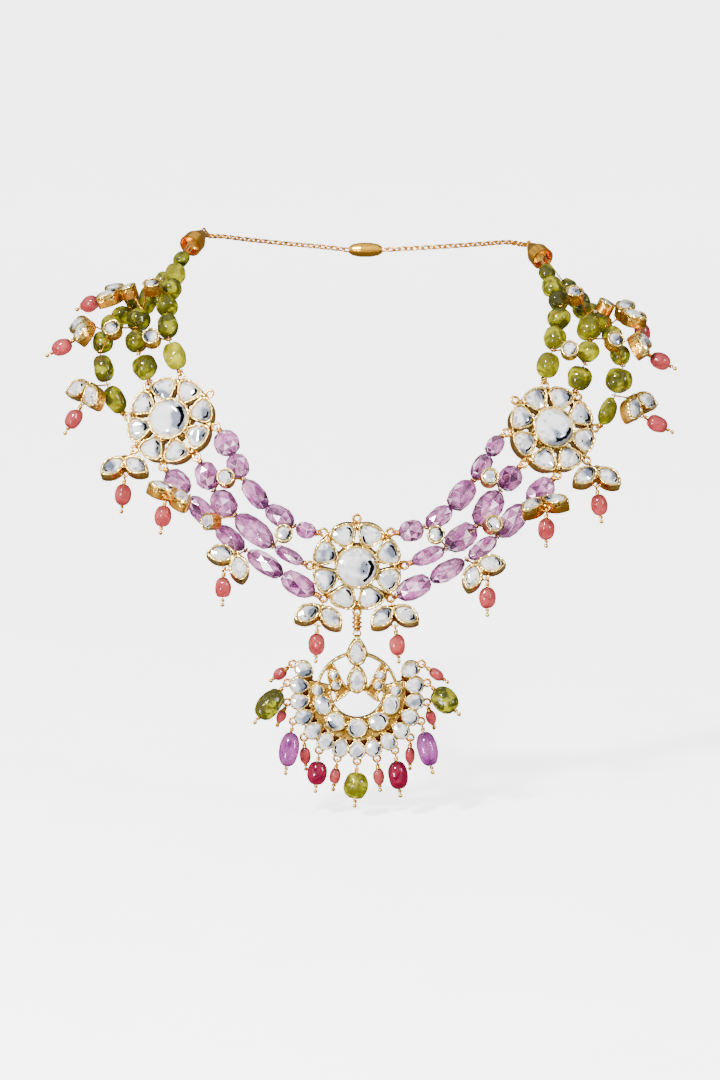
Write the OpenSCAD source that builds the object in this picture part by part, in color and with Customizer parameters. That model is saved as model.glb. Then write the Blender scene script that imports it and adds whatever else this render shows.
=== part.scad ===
/* [Medallions] */
// Radius of a flower medallion
flower_r = 15; // [13:0.5:16]
// Thickness of a flower medallion
flower_t = 4.5; // [3.5:0.1:5]
// Radius of the round centre setting
crown_r = 7; // [6.5:0.1:7.2]

/* [Settings] */
// Radius of a small round collet
collet_r = 3; // [2.6:0.1:3.3]
// Height of a small round collet
collet_h = 4; // [3:0.1:5]
// Length of one leaf of a leaf pair
leaf_len = 10.6; // [9:0.1:11]
// Width of one leaf
leaf_w = 6.8; // [5.5:0.1:7]
// Thickness of a leaf pair
leaf_t = 4; // [3:0.1:4.4]

/* [Loops and wire] */
// Radius of a rim loop, to the middle of its wire
loop_r = 1.2; // [1.1:0.05:1.3]
// Radius of the wire of a rim loop
loop_wire = 0.35; // [0.3:0.01:0.38]
// Radius of an eye or a hook round a loop's wire
eye_r = 0.82; // [0.78:0.01:0.85]
// Radius of the wire of an eye pin
pin_wire = 0.28; // [0.22:0.01:0.3]
// Radius of the stringing thread
thread_r = 0.25; // [0.2:0.01:0.3]
// Radius of a bead's bore
bore_r = 0.5; // [0.45:0.01:0.6]

/* [Pendant] */
// Radius of the pendant's round opening
opening_r = 8.6; // [8:0.1:9]
// Outer radius of the pendant's ring
ring_r = 15.8; // [15:0.1:16]
// Radius on which the outer settings stand
row_r = 19.6; // [19:0.1:20]
// Thickness of the pendant
pendant_t = 3; // [2.5:0.1:3.5]

/* [Back] */
// Radius of the back chain
chain_r = 1.1; // [0.9:0.05:1.3]

/* [Hidden] */
$fn = 32;

gold = "goldenrod";
olive = "olivedrab";
violet = "plum";
pink = "indianred";
ruby = "crimson";
crystal = "whitesmoke";

// How far the first bead stands off the hook
hook_room = 0.8;
// Radius of a bead's flat end
end_r = 0.95;
// Radius of the wire of a collet's or leaf's eye, and of that eye
thread_eye_wire = 0.3;
thread_eye_r = 0.85;

// Unit vector, and a vector's part at right angles to a unit vector
function unit(v) = v / norm(v);
function across(v, n) = unit(v - (v * n) * n);
function sum(list, n) = n <= 0 ? 0 : list[n - 1] + sum(list, n - 1);

// Point on a smooth curve through four neighbouring points
function blend4(a, b, c, d, t) =
    0.5 * (2 * b + (c - a) * t + (2 * a - 5 * b + 4 * c - d) * t * t
        + (3 * b - a - 3 * c + d) * t * t * t);

// Fine line of points through a short list of route points
curve_steps = 10;
function smooth(p) = [
    for (i = [0 : len(p) - 2], k = [0 : curve_steps - 1])
        blend4(
            i == 0 ? 2 * p[0] - p[1] : p[i - 1], p[i], p[i + 1],
            i == len(p) - 2 ? 2 * p[i + 1] - p[i] : p[i + 2], k / curve_steps
        ),
    p[len(p) - 1]
];

// Point at a distance along a line of points
function walk(p, s, i = 0) =
    let (d = norm(p[i + 1] - p[i]))
    (s <= d || i >= len(p) - 2) ? p[i] + (p[i + 1] - p[i]) * s / d : walk(p, s - d, i + 1);
function line_length(p) = sum([for (i = [0 : len(p) - 2]) norm(p[i + 1] - p[i])], len(p) - 1);

// Puts its children at a place, with their z along one vector and x near another
module place(o, z, x) {
    ez = unit(z);
    ex = across(x, ez);
    ey = cross(ez, ex);
    multmatrix([
        [ex.x, ey.x, ez.x, o.x],
        [ex.y, ey.y, ez.y, o.y],
        [ex.z, ey.z, ez.z, o.z],
        [0, 0, 0, 1]
    ]) children();
}

// Any direction that isn't along a given one
function sideways(z) = abs(unit(z).z) < 0.8 ? [0, 0, 1] : [1, 0, 0];

// Round tube swept along a line of points
function turned(x, d) = across(x, d);
function sweep_axes(dir, i, x) = i >= len(dir) ? [] :
    let (ex = turned(x, dir[i])) concat([ex], sweep_axes(dir, i + 1, ex));
module tube(p, r, sides) {
    n = len(p);
    dir = [for (i = [0 : n - 1]) unit(
        i == 0 ? p[1] - p[0] : i == n - 1 ? p[n - 1] - p[n - 2]
            : unit(p[i] - p[i - 1]) + unit(p[i + 1] - p[i])
    )];
    axes = sweep_axes(dir, 0, sideways(dir[0]));
    points = [for (i = [0 : n - 1], k = [0 : sides - 1])
        let (a = 360 * k / sides, ey = cross(dir[i], axes[i]))
        p[i] + r * (cos(a) * axes[i] + sin(a) * ey)];
    walls = [for (i = [0 : n - 2], k = [0 : sides - 1])
        let (j = (k + 1) % sides)
        [i * sides + k, (i + 1) * sides + k, (i + 1) * sides + j, i * sides + j]];
    first = [for (k = [0 : sides - 1]) k];
    last = [for (k = [sides - 1 : -1 : 0]) (n - 1) * sides + k];
    polyhedron(points, concat([first], walls, [last]), convexity = 6);
}

// Ring of round wire about the z axis
module ring(r, wire) {
    rotate_extrude() translate([r, 0]) circle(wire);
}

// Medallions: centre of the face, the way its right side points, and its normal
MEDALLIONS = [
    [[-66.5, -47, -48.5], [0.95, -0.3, -0.07], [-0.26, -0.87, 0.42]],
    [[-3, -75, -94], [1, 0, 0], [0, -1, 0]],
    [[63.5, -47, -51.5], [0.95, 0.3, 0], [0.26, -0.87, 0.42]]
];
LEFT = 0;
CENTRE = 1;
RIGHT = 2;
loop_place_r = flower_r + 0.95;
function face_normal(m) = unit(MEDALLIONS[m][2]);
function face_right(m) = across(MEDALLIONS[m][1], face_normal(m));
function face_up(m) = cross(face_normal(m), face_right(m));
function rim_loop(m, k) = MEDALLIONS[m][0] - face_normal(m) * flower_t / 2
    + loop_place_r * (cos(45 * k) * face_right(m) + sin(45 * k) * face_up(m));

// Strings of beads. Route: the points that a string passes, from its medallion's rim loop on.
// Beads: length, diameter and the gap after it, in order from the same end.
STRINGS = [
    // green, left: inner, middle, outer
    [LEFT, 2, [
        [-65, -38, -28.5], [-67.5, -36, -20.5], [-68, -31, -15], [-68, -24, -10],
        [-66.5, -17, -6.5], [-65, -9, 0], [-62, -3, 4]
    ], [
        [10, 8, 1.7], [9.4, 7.8, 0.5], [7.8, 8.2, 1.7], [7.4, 8.6, 0.5], [8, 8, 0.5], [6.6, 6, 1]
    ]],
    [LEFT, 3, [
        [-73.5, -37.5, -33.5], [-78, -36, -26], [-79, -33, -21], [-77, -25, -15],
        [-74.5, -17, -11.5], [-70.5, -9, -5.5], [-63.5, -3, 3]
    ], [
        [9.6, 9.6, 1.7], [8, 8.6, 1.7], [7.4, 9.4, 2.6], [8.2, 7.6, 0.5], [8, 6.6, 1]
    ]],
    [LEFT, 4, [
        [-85.5, -40.5, -45], [-89, -40, -34], [-90.5, -37, -26], [-88.5, -29, -20.5],
        [-85, -21, -17], [-80.5, -14, -14.5], [-75.5, -6, -11.5], [-70, 1, -6], [-63.5, -1, 2.5]
    ], [
        [11, 7.6, 1.7], [9.8, 7.4, 1.7], [8.4, 8, 1.7], [7.6, 8.4, 0.5], [6.4, 7.4, 2.6],
        [7.4, 7, 0.5], [8, 7, 0.7], [7, 6.2, 1]
    ]],
    // green, right: inner, middle, outer
    [RIGHT, 2, [
        [61.2, -38.5, -31.5], [64, -37, -25], [65, -32, -19.5], [67, -25, -14],
        [65.8, -18, -10.5], [63.5, -10, -5.5], [62, -3, -1]
    ], [
        [9.4, 8.8, 1.7], [8.6, 8.6, 0.5], [8.4, 8.8, 1.7], [7.2, 7.6, 0.5], [8.4, 8, 0.5], [6.8, 6.2, 1]
    ]],
    [RIGHT, 1, [
        [71, -37.5, -36.5], [75.5, -36, -29.5], [76.5, -34, -25], [76.5, -26, -18],
        [74, -18, -14], [71.3, -9.5, -10.5], [63.5, -3, -2]
    ], [
        [9.6, 9.4, 1.7], [7.6, 8.4, 1.7], [9.6, 9.6, 2.6], [7, 7, 0.5], [7.6, 7, 1]
    ]],
    [RIGHT, 0, [
        [82.8, -40.8, -49.5], [85, -41, -39.5], [87.5, -38.5, -31.5], [86, -32, -25.5],
        [83, -22, -20.5], [79.5, -12, -17.5], [75, -4, -13], [70, 1, -8], [63.5, -1, -2.5]
    ], [
        [11.4, 6.4, 1.7], [9.2, 9.8, 1.7], [8, 7.6, 1.7], [8.2, 7.6, 2.6], [8, 7.2, 0.5],
        [7.4, 6.6, 0.6], [7.4, 6.2, 0.6], [6.6, 6, 1]
    ]],
    // violet, left: inner, middle, outer
    [LEFT, 0, [
        [-47.5, -53.5, -53.5], [-43.5, -57, -62.5], [-37.5, -64, -72.5],
        [-28, -69, -78.5], [-19.5, -72.5, -83.5]
    ], [
        [9.2, 9.4, 0.5], [8.6, 8.2, 1.7], [12.4, 7, 0.5], [10.8, 7.4, 1.7], [7.4, 6, 1]
    ]],
    [LEFT, 7, [
        [-53.5, -54.5, -65], [-50, -58, -74], [-38.5, -64, -83], [-27, -71, -91]
    ], [
        [9.8, 8.8, 1.7], [10, 9, 1.7], [16, 8.8, 1.7], [11, 5, 1]
    ]],
    [LEFT, 6, [
        [-64.5, -53, -68], [-55, -53.5, -80], [-45, -62, -87.5],
        [-33, -68, -95], [-22.5, -73, -101]
    ], [
        [10, 8.8, 1.7], [13, 7.6, 1.7], [12.4, 7, 2.6], [14, 7.4, 0.5], [12.4, 8.2, 1]
    ]],
    // violet, right: inner, middle, outer
    [RIGHT, 4, [
        [44, -53, -55], [40, -57, -61.5], [32.5, -63.5, -72],
        [24, -69, -79], [14.5, -73, -83.5]
    ], [
        [8.2, 6.4, 0.5], [9.6, 7, 1.7], [11.6, 8.6, 0.5], [10.4, 7, 1.7], [8.8, 8, 1]
    ]],
    [RIGHT, 5, [
        [49.5, -54, -65.5], [43, -57, -75], [34, -64, -85.5], [21, -72, -91]
    ], [
        [9, 8.8, 1.7], [13.6, 9.6, 1.7], [12.4, 9.2, 1.7], [12, 6, 1]
    ]],
    [RIGHT, 6, [
        [60, -53, -71], [50.5, -57, -80.5], [41, -63, -89], [28.5, -69, -96], [18, -73, -101]
    ], [
        [11, 8.8, 1.7], [13.8, 8.6, 1.7], [11.6, 6, 2.6], [13, 7.2, 0.5], [12.2, 8.4, 1]
    ]]
];
// Rim loop of the centre medallion that each violet string ends on
VIOLET_END = [3, 4, 5, 1, 0, 7];
first_violet = 6;

// End caps: middle of the mouth and the way the cap runs back from it
CAPS = [
    [[-61, -1, 5.5], [0.45, 0.8, 0.4]],
    [[61.5, -1, 1], [-0.45, 0.8, 0.4]]
];
cap_len = 9;
cap_mouth_r = 4;
cap_tail_r = 1.5;
cap_wall = 0.5;
cap_entry_deep = 1.4;

function string_m(i) = STRINGS[i][0];
function string_start(i) = rim_loop(string_m(i), STRINGS[i][1]);
// Way that the hook leaves a rim loop, in the medallion's plane
function hook_dir(m, loop, towards) = across(towards - loop, face_normal(m));
hook_reach = loop_r + eye_r + hook_room;
function string_end(i) = i >= first_violet
    ? rim_loop(CENTRE, VIOLET_END[i - first_violet]) : [0, 0, 0];

// Fine line that a string follows, from one hook to the other or into the cap
function cap_of(i) = CAPS[i < 3 ? 0 : 1];
cap_thread_places = [[0.6, 1], [0.1, -1.5], [-1.3, -0.1]];
function cap_entry(i) = let (c = cap_of(i), k = i % 3, side = i < 3 ? 1 : -1)
    c[0] + unit(c[1]) * cap_entry_deep
        + across([side, 0, 0], unit(c[1])) * cap_thread_places[k].x
        + across([0, 0, 1], unit(c[1])) * cap_thread_places[k].y;
function string_line(i) =
    let (
        route = STRINGS[i][2],
        a = string_start(i),
        head = a + hook_dir(string_m(i), a, route[0]) * hook_reach,
        b = string_end(i),
        tail = i >= first_violet
            ? b + hook_dir(CENTRE, b, route[len(route) - 1]) * hook_reach : cap_entry(i)
    )
    smooth(concat([head], route, [tail]));
LINES = [for (i = [0 : len(STRINGS) - 1]) string_line(i)];

function bead_rows(i) = STRINGS[i][3];
function bead_from(i, j) = sum([for (b = bead_rows(i)) b[0] + b[2]], j);
function bead_start(i, j) = walk(LINES[i], bead_from(i, j));
function bead_stop(i, j) = walk(LINES[i], bead_from(i, j) + bead_rows(i)[j][0]);
// Middle of the gap after a bead, and the way the thread runs there
function gap_point(i, j, along = 0.5) =
    walk(LINES[i], bead_from(i, j) + bead_rows(i)[j][0] + along * bead_rows(i)[j][2]);
function gap_dir(i, j) = unit(gap_point(i, j, 0.9) - gap_point(i, j, 0.1));

// Round tumbled bead with a bore along z
bead_steps = 8;
module round_bead(l, d, hole = bore_r, tip = end_r) {
    crown = d / 2 - tip;
    outline = [for (k = [0 : bead_steps]) let (a = 180 * k / bead_steps)
        [tip + crown * pow(sin(a), 0.85), -l / 2 * cos(a)]];
    rotate_extrude() polygon(concat([[hole, -l / 2]], outline, [[hole, l / 2]]));
}

// Bead cut with staggered rows of flat facets, with a bore along z
facet_sides = 10;
facet_rows = [[0, 0.1], [0.1, 0.6], [0.34, 0.97], [0.66, 0.97], [0.9, 0.6], [1, 0.1]];
module cut_bead(l, d) {
    rings = concat(
        [[-l / 2, bore_r, 0]],
        [for (i = [0 : len(facet_rows) - 1])
            [l * (facet_rows[i][0] - 0.5), max(d / 2 * facet_rows[i][1], end_r), i % 2]],
        [[l / 2, bore_r, 0]]
    );
    n = facet_sides;
    points = [for (q = rings, k = [0 : n - 1])
        let (a = 360 / n * (k + q[2] / 2)) [q[1] * cos(a), q[1] * sin(a), q[0]]];
    walls = [for (i = [0 : len(rings) - 1], k = [0 : n - 1])
        let (
            ii = (i + 1) % len(rings), kk = (k + 1) % n,
            a = i * n + k, b = i * n + kk, c = ii * n + k, e = ii * n + kk,
            ahead = rings[ii][2] > rings[i][2]
        )
        each (ahead ? [[a, c, b], [b, c, e]] : [[a, c, e], [a, e, b]])];
    polyhedron(points, walls, convexity = 4);
}

// Beads of one string, each along its own stretch of the line
module bead_string(i) {
    color(i < first_violet ? olive : violet) for (j = [0 : len(bead_rows(i)) - 1]) {
        a = bead_start(i, j);
        b = bead_stop(i, j);
        d = bead_rows(i)[j][1];
        place((a + b) / 2, b - a, [0, 0, 1])
            if (i < first_violet) round_bead(norm(b - a), d); else cut_bead(norm(b - a), d);
    }
}

// Hook of thread round the outer wire of a rim loop: it starts clear of itself
hook_turns = [290 : -48 : 2];
function hook(m, loop, towards) =
    let (
        u = hook_dir(m, loop, towards), n = face_normal(m),
        w = loop + u * loop_r
    )
    [for (a = hook_turns) w + eye_r * (cos(a) * u + sin(a) * n)];
function flip(list) = [for (k = [len(list) - 1 : -1 : 0]) list[k]];
thread_sides = 5;
thread_lead = 0.4;
module thread(i) {
    route = STRINGS[i][2];
    a = string_start(i);
    b = string_end(i);
    n = len(bead_rows(i)) - 1;
    through = [for (j = [0 : n]) each [bead_start(i, j), bead_stop(i, j)]];
    ahead = unit(bead_stop(i, 0) - bead_start(i, 0)) * thread_lead;
    behind = unit(bead_stop(i, n) - bead_start(i, n)) * thread_lead;
    last = len(route) - 1;
    tail = i >= first_violet ? flip(hook(CENTRE, b, route[last])) : [cap_entry(i)];
    tube(concat(
        hook(string_m(i), a, route[0]), [through[0] - ahead], through,
        [through[2 * n + 1] + behind], tail
    ), thread_r, thread_sides);
}
module threads(from) {
    color(from < first_violet ? olive : violet) for (i = [from : from + 2]) thread(i);
}

// Gold cup that gathers three threads, open towards the beads
module end_cap(k) {
    color(gold) place(CAPS[k][0], CAPS[k][1], [0, 0, 1]) {
        rotate_extrude() polygon([
            [cap_mouth_r - cap_wall, 0], [cap_mouth_r, 0], [cap_mouth_r * 0.95, cap_len * 0.45],
            [cap_tail_r, cap_len], [0, cap_len], [0, cap_len - 2],
            [cap_mouth_r - cap_wall, cap_len * 0.42]
        ]);
        translate([0, 0, cap_len + loop_r - 0.1]) rotate([90, 0, 0]) ring(loop_r, loop_wire);
    }
}
function cap_ring(k) = CAPS[k][0] + unit(CAPS[k][1]) * (cap_len + loop_r - 0.1);

// Chain round the back, each half a tube of its own, and a plain clasp between them
clasp_at = [0, 62, -3];
clasp_len = 12;
clasp_r = 2.6;
BACK = [
    [[-55, 22, 6.5], [-50, 33, 5], [-41, 45, 2.5], [-28, 55, 0], [-14, 61, -2]],
    [[55, 22, 3.5], [50, 33, 3], [41, 45, 1], [28, 55, -1], [14, 61, -2.5]]
];
chain_sides = 8;
chain_rings = 26;
chain_room = 0.3;
module back_chain(k) {
    side = k == 0 ? -1 : 1;
    from = cap_ring(k) + unit(BACK[k][0] - cap_ring(k)) * (loop_r + loop_wire + chain_room);
    to = clasp_at + [side * (clasp_len / 2 + chain_room), 0, 0];
    line = smooth(concat([from], BACK[k], [to]));
    l = line_length(line);
    color(gold) tube([for (i = [0 : chain_rings]) walk(line, l * i / chain_rings * 0.9999)],
        chain_r, chain_sides);
}
module clasp() {
    color(gold) translate(clasp_at) rotate([0, 90, 0]) rotate_extrude() polygon([
        [0, -clasp_len / 2], [clasp_r * 0.45, -clasp_len / 2], [clasp_r * 0.8, -clasp_len * 0.38],
        [clasp_r, -clasp_len * 0.15], [clasp_r, clasp_len * 0.15],
        [clasp_r * 0.8, clasp_len * 0.38], [clasp_r * 0.45, clasp_len / 2], [0, clasp_len / 2]
    ]);
}

// Cut stone on an outline, seated at z = 0: straight girdle, sloped crown and flat table
module cut_stone(outline, girdle, height, table) {
    n = len(outline);
    points = concat(
        [for (q = outline) [q.x, q.y, 0]],
        [for (q = outline) [q.x, q.y, girdle]],
        [for (q = outline) [q.x * table, q.y * table, height]]
    );
    walls = [for (i = [0, 1], k = [0 : n - 1]) let (j = (k + 1) % n)
        [i * n + k, (i + 1) * n + k, (i + 1) * n + j, i * n + j]];
    bottom = [for (k = [0 : n - 1]) k];
    top = [for (k = [n - 1 : -1 : 0]) 2 * n + k];
    polyhedron(points, concat([bottom], walls, [top]), convexity = 2);
}
function oval(a, b, n, point = 0) = [for (k = [0 : n - 1]) let (t = 360 * k / n)
    [a * cos(t), b * sin(t) * (1 - point * max(0, cos(t)))]];

// Petal settings: half of a petal's outline, as distance along it and half its width
petal_half = [[-3.4, 0.9], [-2, 2], [-0.2, 3.2], [1.2, 3.8], [2.2, 3.6], [2.8, 2.4], [3.1, 1]];
petal_middle_r = 11.3;
petal_outline = concat(petal_half, [for (k = [6 : -1 : 0]) [petal_half[k].x, -petal_half[k].y]]);
stone_room = 0.94;
pocket_deep = 1.3;
seat_gap = 0.15;
crown_rise = 1.5;
crown_stone_r = 5.9;
gap_inner_r = 7.5;
gap_apex_r = 12.8;
gap_half = 1.5;
petal_angles = [for (k = [0 : 7]) 22.5 + 45 * k];
module on_face(m) {
    place(MEDALLIONS[m][0], face_normal(m), face_right(m)) children();
}
module medallion(m) {
    color(gold) on_face(m) {
        difference() {
            union() {
                translate([0, 0, -flower_t]) linear_extrude(flower_t) {
                    circle(flower_r - 0.5, $fn = 64);
                    for (a = petal_angles) rotate(a) translate([8, 0]) circle(flower_r - 7.8);
                }
                translate([0, 0, -flower_t]) cylinder(flower_t + crown_rise, crown_r, crown_r);
            }
            for (a = petal_angles) rotate(a) translate([petal_middle_r, 0, -pocket_deep])
                linear_extrude(pocket_deep + 1) polygon(petal_outline);
            for (k = [0 : 7]) rotate(45 * k) translate([0, 0, -flower_t - 1])
                linear_extrude(flower_t + 2) polygon([
                    [gap_inner_r, -gap_half], [gap_apex_r, -0.1],
                    [gap_apex_r, 0.1], [gap_inner_r, gap_half]
                ]);
            translate([0, 0, crown_rise - pocket_deep])
                cylinder(pocket_deep + 1, crown_stone_r + seat_gap, crown_stone_r + seat_gap);
        }
        for (k = [0 : 7]) rotate(45 * k) translate([loop_place_r, 0, -flower_t / 2])
            ring(loop_r, loop_wire);
    }
}
module medallion_stones(m) {
    color(crystal) on_face(m) {
        for (a = petal_angles) rotate(a)
            translate([petal_middle_r, 0, seat_gap - pocket_deep])
                cut_stone(flip([for (q = petal_outline) q * stone_room]), 1.1, 1.9, 0.62);
        translate([0, 0, crown_rise - pocket_deep + seat_gap])
            cut_stone(oval(crown_stone_r, crown_stone_r, 16), 1.2, 2.8, 0.6);
    }
}

// Round collets between neighbouring strings: string, gap and place along it for both ends,
// how far the collet stands out from the thread, and the way it faces
COLLETS = [
    [0, 0, 0.5, 1, 0, 0.5, 5.3, [-0.1, -0.8, 0.6]],
    [0, 2, 0.5, 1, 2, 0.25, 6.3, [-0.1, -0.35, 0.93]],
    [1, 1, 0.5, 2, 1, 0.5, 6.6, [-0.2, -0.75, 0.62]],
    [1, 2, 0.75, 2, 4, 0.25, 6.7, [-0.3, -0.1, 0.94]],
    [6, 1, 0.5, 7, 0, 0.5, 6.2, [-0.1, -0.9, 0.5]],
    [7, 1, 0.5, 8, 1, 0.5, 6.5, [-0.7, -0.7, 0.1]],
    [6, 3, 0.5, 7, 2, 0.5, 5.5, [0, -0.95, 0.3]],
    [3, 0, 0.5, 4, 0, 0.5, 6, [0, -0.92, 0.5]],
    [3, 2, 0.5, 4, 2, 0.25, 7.2, [0, -0.5, 0.86]],
    [4, 1, 0.5, 5, 1, 0.5, 7.3, [0.3, -0.75, 0.6]],
    [4, 2, 0.75, 5, 3, 0.25, 5.7, [0.45, -0.1, 0.89]],
    [9, 1, 0.5, 10, 0, 0.5, 7.1, [0.1, -0.9, 0.5]],
    [10, 1, 0.5, 11, 1, 0.5, 6.1, [0.3, -0.85, 0.5]],
    [9, 3, 0.5, 10, 2, 0.5, 6.1, [0, -0.95, 0.3]]
];
a_side = 7;
collet_stone_r = 2.25;
arm_r = 0.35;
function collet_ends(c) = [gap_point(c[0], c[1], c[2]), gap_point(c[3], c[4], c[5])];
function collet_middle(c) = let (e = collet_ends(c)) (e[0] + e[1]) / 2 + unit(c[7]) * c[6];
module rod(a, b, r) {
    place(a, b - a, sideways(b - a)) cylinder(norm(b - a), r, r, $fn = 16);
}
module thread_eye(p, dir) {
    place(p, dir, sideways(dir)) ring(thread_eye_r, thread_eye_wire);
}
module collet(c) {
    ends = collet_ends(c);
    dirs = [gap_dir(c[0], c[1]), gap_dir(c[3], c[4])];
    middle = collet_middle(c);
    place(middle, c[7], sideways(c[7])) difference() {
        translate([0, 0, -collet_h / 2]) cylinder(collet_h, collet_r, collet_r);
        translate([0, 0, collet_h / 2 - pocket_deep])
            cylinder(pocket_deep + 1, collet_stone_r + seat_gap, collet_stone_r + seat_gap);
    }
    for (k = [0, 1]) {
        thread_eye(ends[k], dirs[k]);
        inward = across(middle - ends[k], unit(c[7]));
        rod(
            ends[k] + across(middle - ends[k], dirs[k]) * thread_eye_r,
            middle - inward * (collet_r - 0.6) - unit(c[7]) * (collet_h / 2 - 1), arm_r
        );
    }
}
module collet_stone(c) {
    place(collet_middle(c), c[7], sideways(c[7]))
        translate([0, 0, collet_h / 2 - pocket_deep + seat_gap])
            cut_stone(oval(collet_stone_r, collet_stone_r, 10), 1.1, 1.7, 0.6);
}
// Seven collets, and their stones, from one side
module collets(from) {
    color(gold) for (k = [from : from + a_side - 1]) collet(COLLETS[k]);
}
module collet_stones(from) {
    color(crystal) for (k = [from : from + a_side - 1]) collet_stone(COLLETS[k]);
}

// Leaf pairs: what each hangs from (a string, or -1 - medallion for a rim loop), the gap or
// loop there, the place along the gap, its neck as a vector, the way its leaves hang, the way
// its face looks and the way its pin runs
LEAVES = [
    [2, 4, 0.75, [-3, 0, 5.4], [-0.95, 0.25, -0.2], [-0.25, -0.1, 0.96], [-0.8, 0.45, -0.4]],
    [2, 2, 0.5, [-5.9, -1.2, 3.2], [-0.62, 0, -0.78], [-0.75, -0.25, 0.6], [-0.85, 0, -0.5]],
    [2, 0, 0.5, [-5, -4.8, 0.2], [-0.5, -0.2, -0.85], [-0.6, -0.65, 0.45], [-0.5, -0.2, -0.85]],
    [-1, 5, 0, [-2.4, -1.6, -2.4], [0, -0.6, -0.8], [-0.1, -0.8, 0.6], [-0.1, 0, -1]],
    [8, 0, 0.5, [-4, -7.8, 1.6], [-0.5, -0.86, 0], [0.3, -0.2, 0.92], [-0.15, 0, -1]],
    [8, 2, 0.5, [-3, -7, -0.6], [-0.64, -0.39, -0.66], [0, -0.86, 0.5], [-0.05, -0.05, -1]],
    [-2, 5, 0, [-0.5, -2.4, -1.9], [-0.19, -0.49, -0.86], [0, -0.86, 0.5], [-0.05, 0, -1]],
    [5, 3, 0.75, [4.8, 0.4, 4.2], [0.92, 0.35, -0.05], [0.1, -0.25, 0.96], [0.25, 0, -0.97]],
    [5, 2, 0.5, [5.8, -1, 2.5], [0.57, 0, -0.8], [0.8, -0.15, 0.57], [0.85, 0.1, -0.45]],
    [5, 0, 0.5, [5.8, -4.6, -0.4], [0.55, -0.2, -0.8], [0.65, -0.6, 0.45], [0.85, -0.2, -0.45]],
    [-3, 7, 0, [2.4, -1.6, -2.2], [0, -0.6, -0.8], [0.1, -0.8, 0.6], [0.15, 0, -1]],
    [11, 0, 0.5, [4.8, -6.6, 1.8], [0.2, -0.95, -0.3], [-0.15, -0.3, 0.94], [0, 0, -1]],
    [11, 2, 0.5, [3, -7, -0.6], [0.6, -0.39, -0.7], [0, -0.86, 0.5], [0, -0.05, -1]],
    [-2, 7, 0, [0.5, -2.6, -2], [0.12, -0.49, -0.86], [0, -0.86, 0.5], [0.1, 0, -1]]
];
leaf_slope = 38;
leaf_stone_len = 8.2;
leaf_stone_w = 5;
lower_loop_y = -5.2;
web_t = 2;
function hangs_on_thread(q) = q[0] >= 0;
function leaf_medallion(q) = -1 - q[0];
function leaf_bar(q) = hangs_on_thread(q) ? gap_point(q[0], q[1], q[2])
    : rim_loop(leaf_medallion(q), q[1])
        + across(q[3], face_normal(leaf_medallion(q))) * loop_r;
function leaf_bar_dir(q) = hangs_on_thread(q) ? gap_dir(q[0], q[1])
    : unit(cross(face_normal(leaf_medallion(q)), across(q[3], face_normal(leaf_medallion(q)))));
function leaf_top(q) = leaf_bar(q) + q[3];
function leaf_face(q) = unit(q[5]);
function leaf_up(q) = -across(q[4], leaf_face(q));
function leaf_right(q) = cross(leaf_up(q), leaf_face(q));
module on_leaf(q) {
    place(leaf_top(q), leaf_face(q), leaf_right(q)) children();
}
// Pointed oval of a leaf, from two crossing arcs
module vesica(l, w) {
    r = (l * l + w * w) / (4 * w);
    intersection() {
        translate([0, w / 2 - r]) circle(r, $fn = 64);
        translate([0, r - w / 2]) circle(r, $fn = 64);
    }
}
module both_leaves() {
    for (side = [0, 180]) rotate([0, side, 0]) rotate(-leaf_slope)
        translate([leaf_len / 2 - 0.4, 0]) children();
}
module leaf_frame(q) {
    on_leaf(q) {
        difference() {
            union() {
                both_leaves() translate([0, 0, -leaf_t / 2]) linear_extrude(leaf_t)
                    vesica(leaf_len, leaf_w);
                translate([0, 0.2, -leaf_t / 2]) cylinder(leaf_t, 1.1, 1.1);
                translate([0, 0, -web_t / 2]) linear_extrude(web_t)
                    polygon([[-2.6, -2.6], [2.6, -2.6], [0.8, -4.3], [-0.8, -4.3]]);
            }
            for (side = [1, -1]) mirror([side < 0 ? 1 : 0, 0, 0]) rotate(-leaf_slope)
                translate([leaf_len / 2 - 0.2, 0, leaf_t / 2 - pocket_deep])
                    linear_extrude(pocket_deep + 1) vesica(leaf_stone_len, leaf_stone_w);
        }
        translate([0, lower_loop_y, 0]) ring(loop_r, loop_wire);
    }
    bar = leaf_bar(q);
    dir = leaf_bar_dir(q);
    if (hangs_on_thread(q)) {
        thread_eye(bar, dir);
        rod(bar + across(q[3], dir) * thread_eye_r, leaf_top(q), arm_r);
    } else {
        place(bar, dir, q[3]) ring(eye_r, pin_wire);
        rod(bar + across(q[3], dir) * eye_r, leaf_top(q), arm_r);
    }
}
module leaf_pair(k) {
    color(gold) leaf_frame(LEAVES[k]);
}
function pointed(l, w, n) = [for (s = [1, -1], k = [0 : n - 1])
    let (t = s * (1 - 2 * k / n)) [l / 2 * t, s * w / 2 * (1 - t * t)]];
module leaf_pair_stones(q) {
    on_leaf(q) for (side = [1, -1]) mirror([side < 0 ? 1 : 0, 0, 0]) rotate(-leaf_slope)
        translate([leaf_len / 2 - 0.2, 0, leaf_t / 2 - pocket_deep + seat_gap])
            cut_stone(pointed(leaf_stone_len - 0.8, leaf_stone_w - 0.5, 6), 1.1, 1.8, 0.6);
}
module leaf_stones(from) {
    color(crystal) for (k = [from : from + a_side - 1]) leaf_pair_stones(LEAVES[k]);
}

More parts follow.
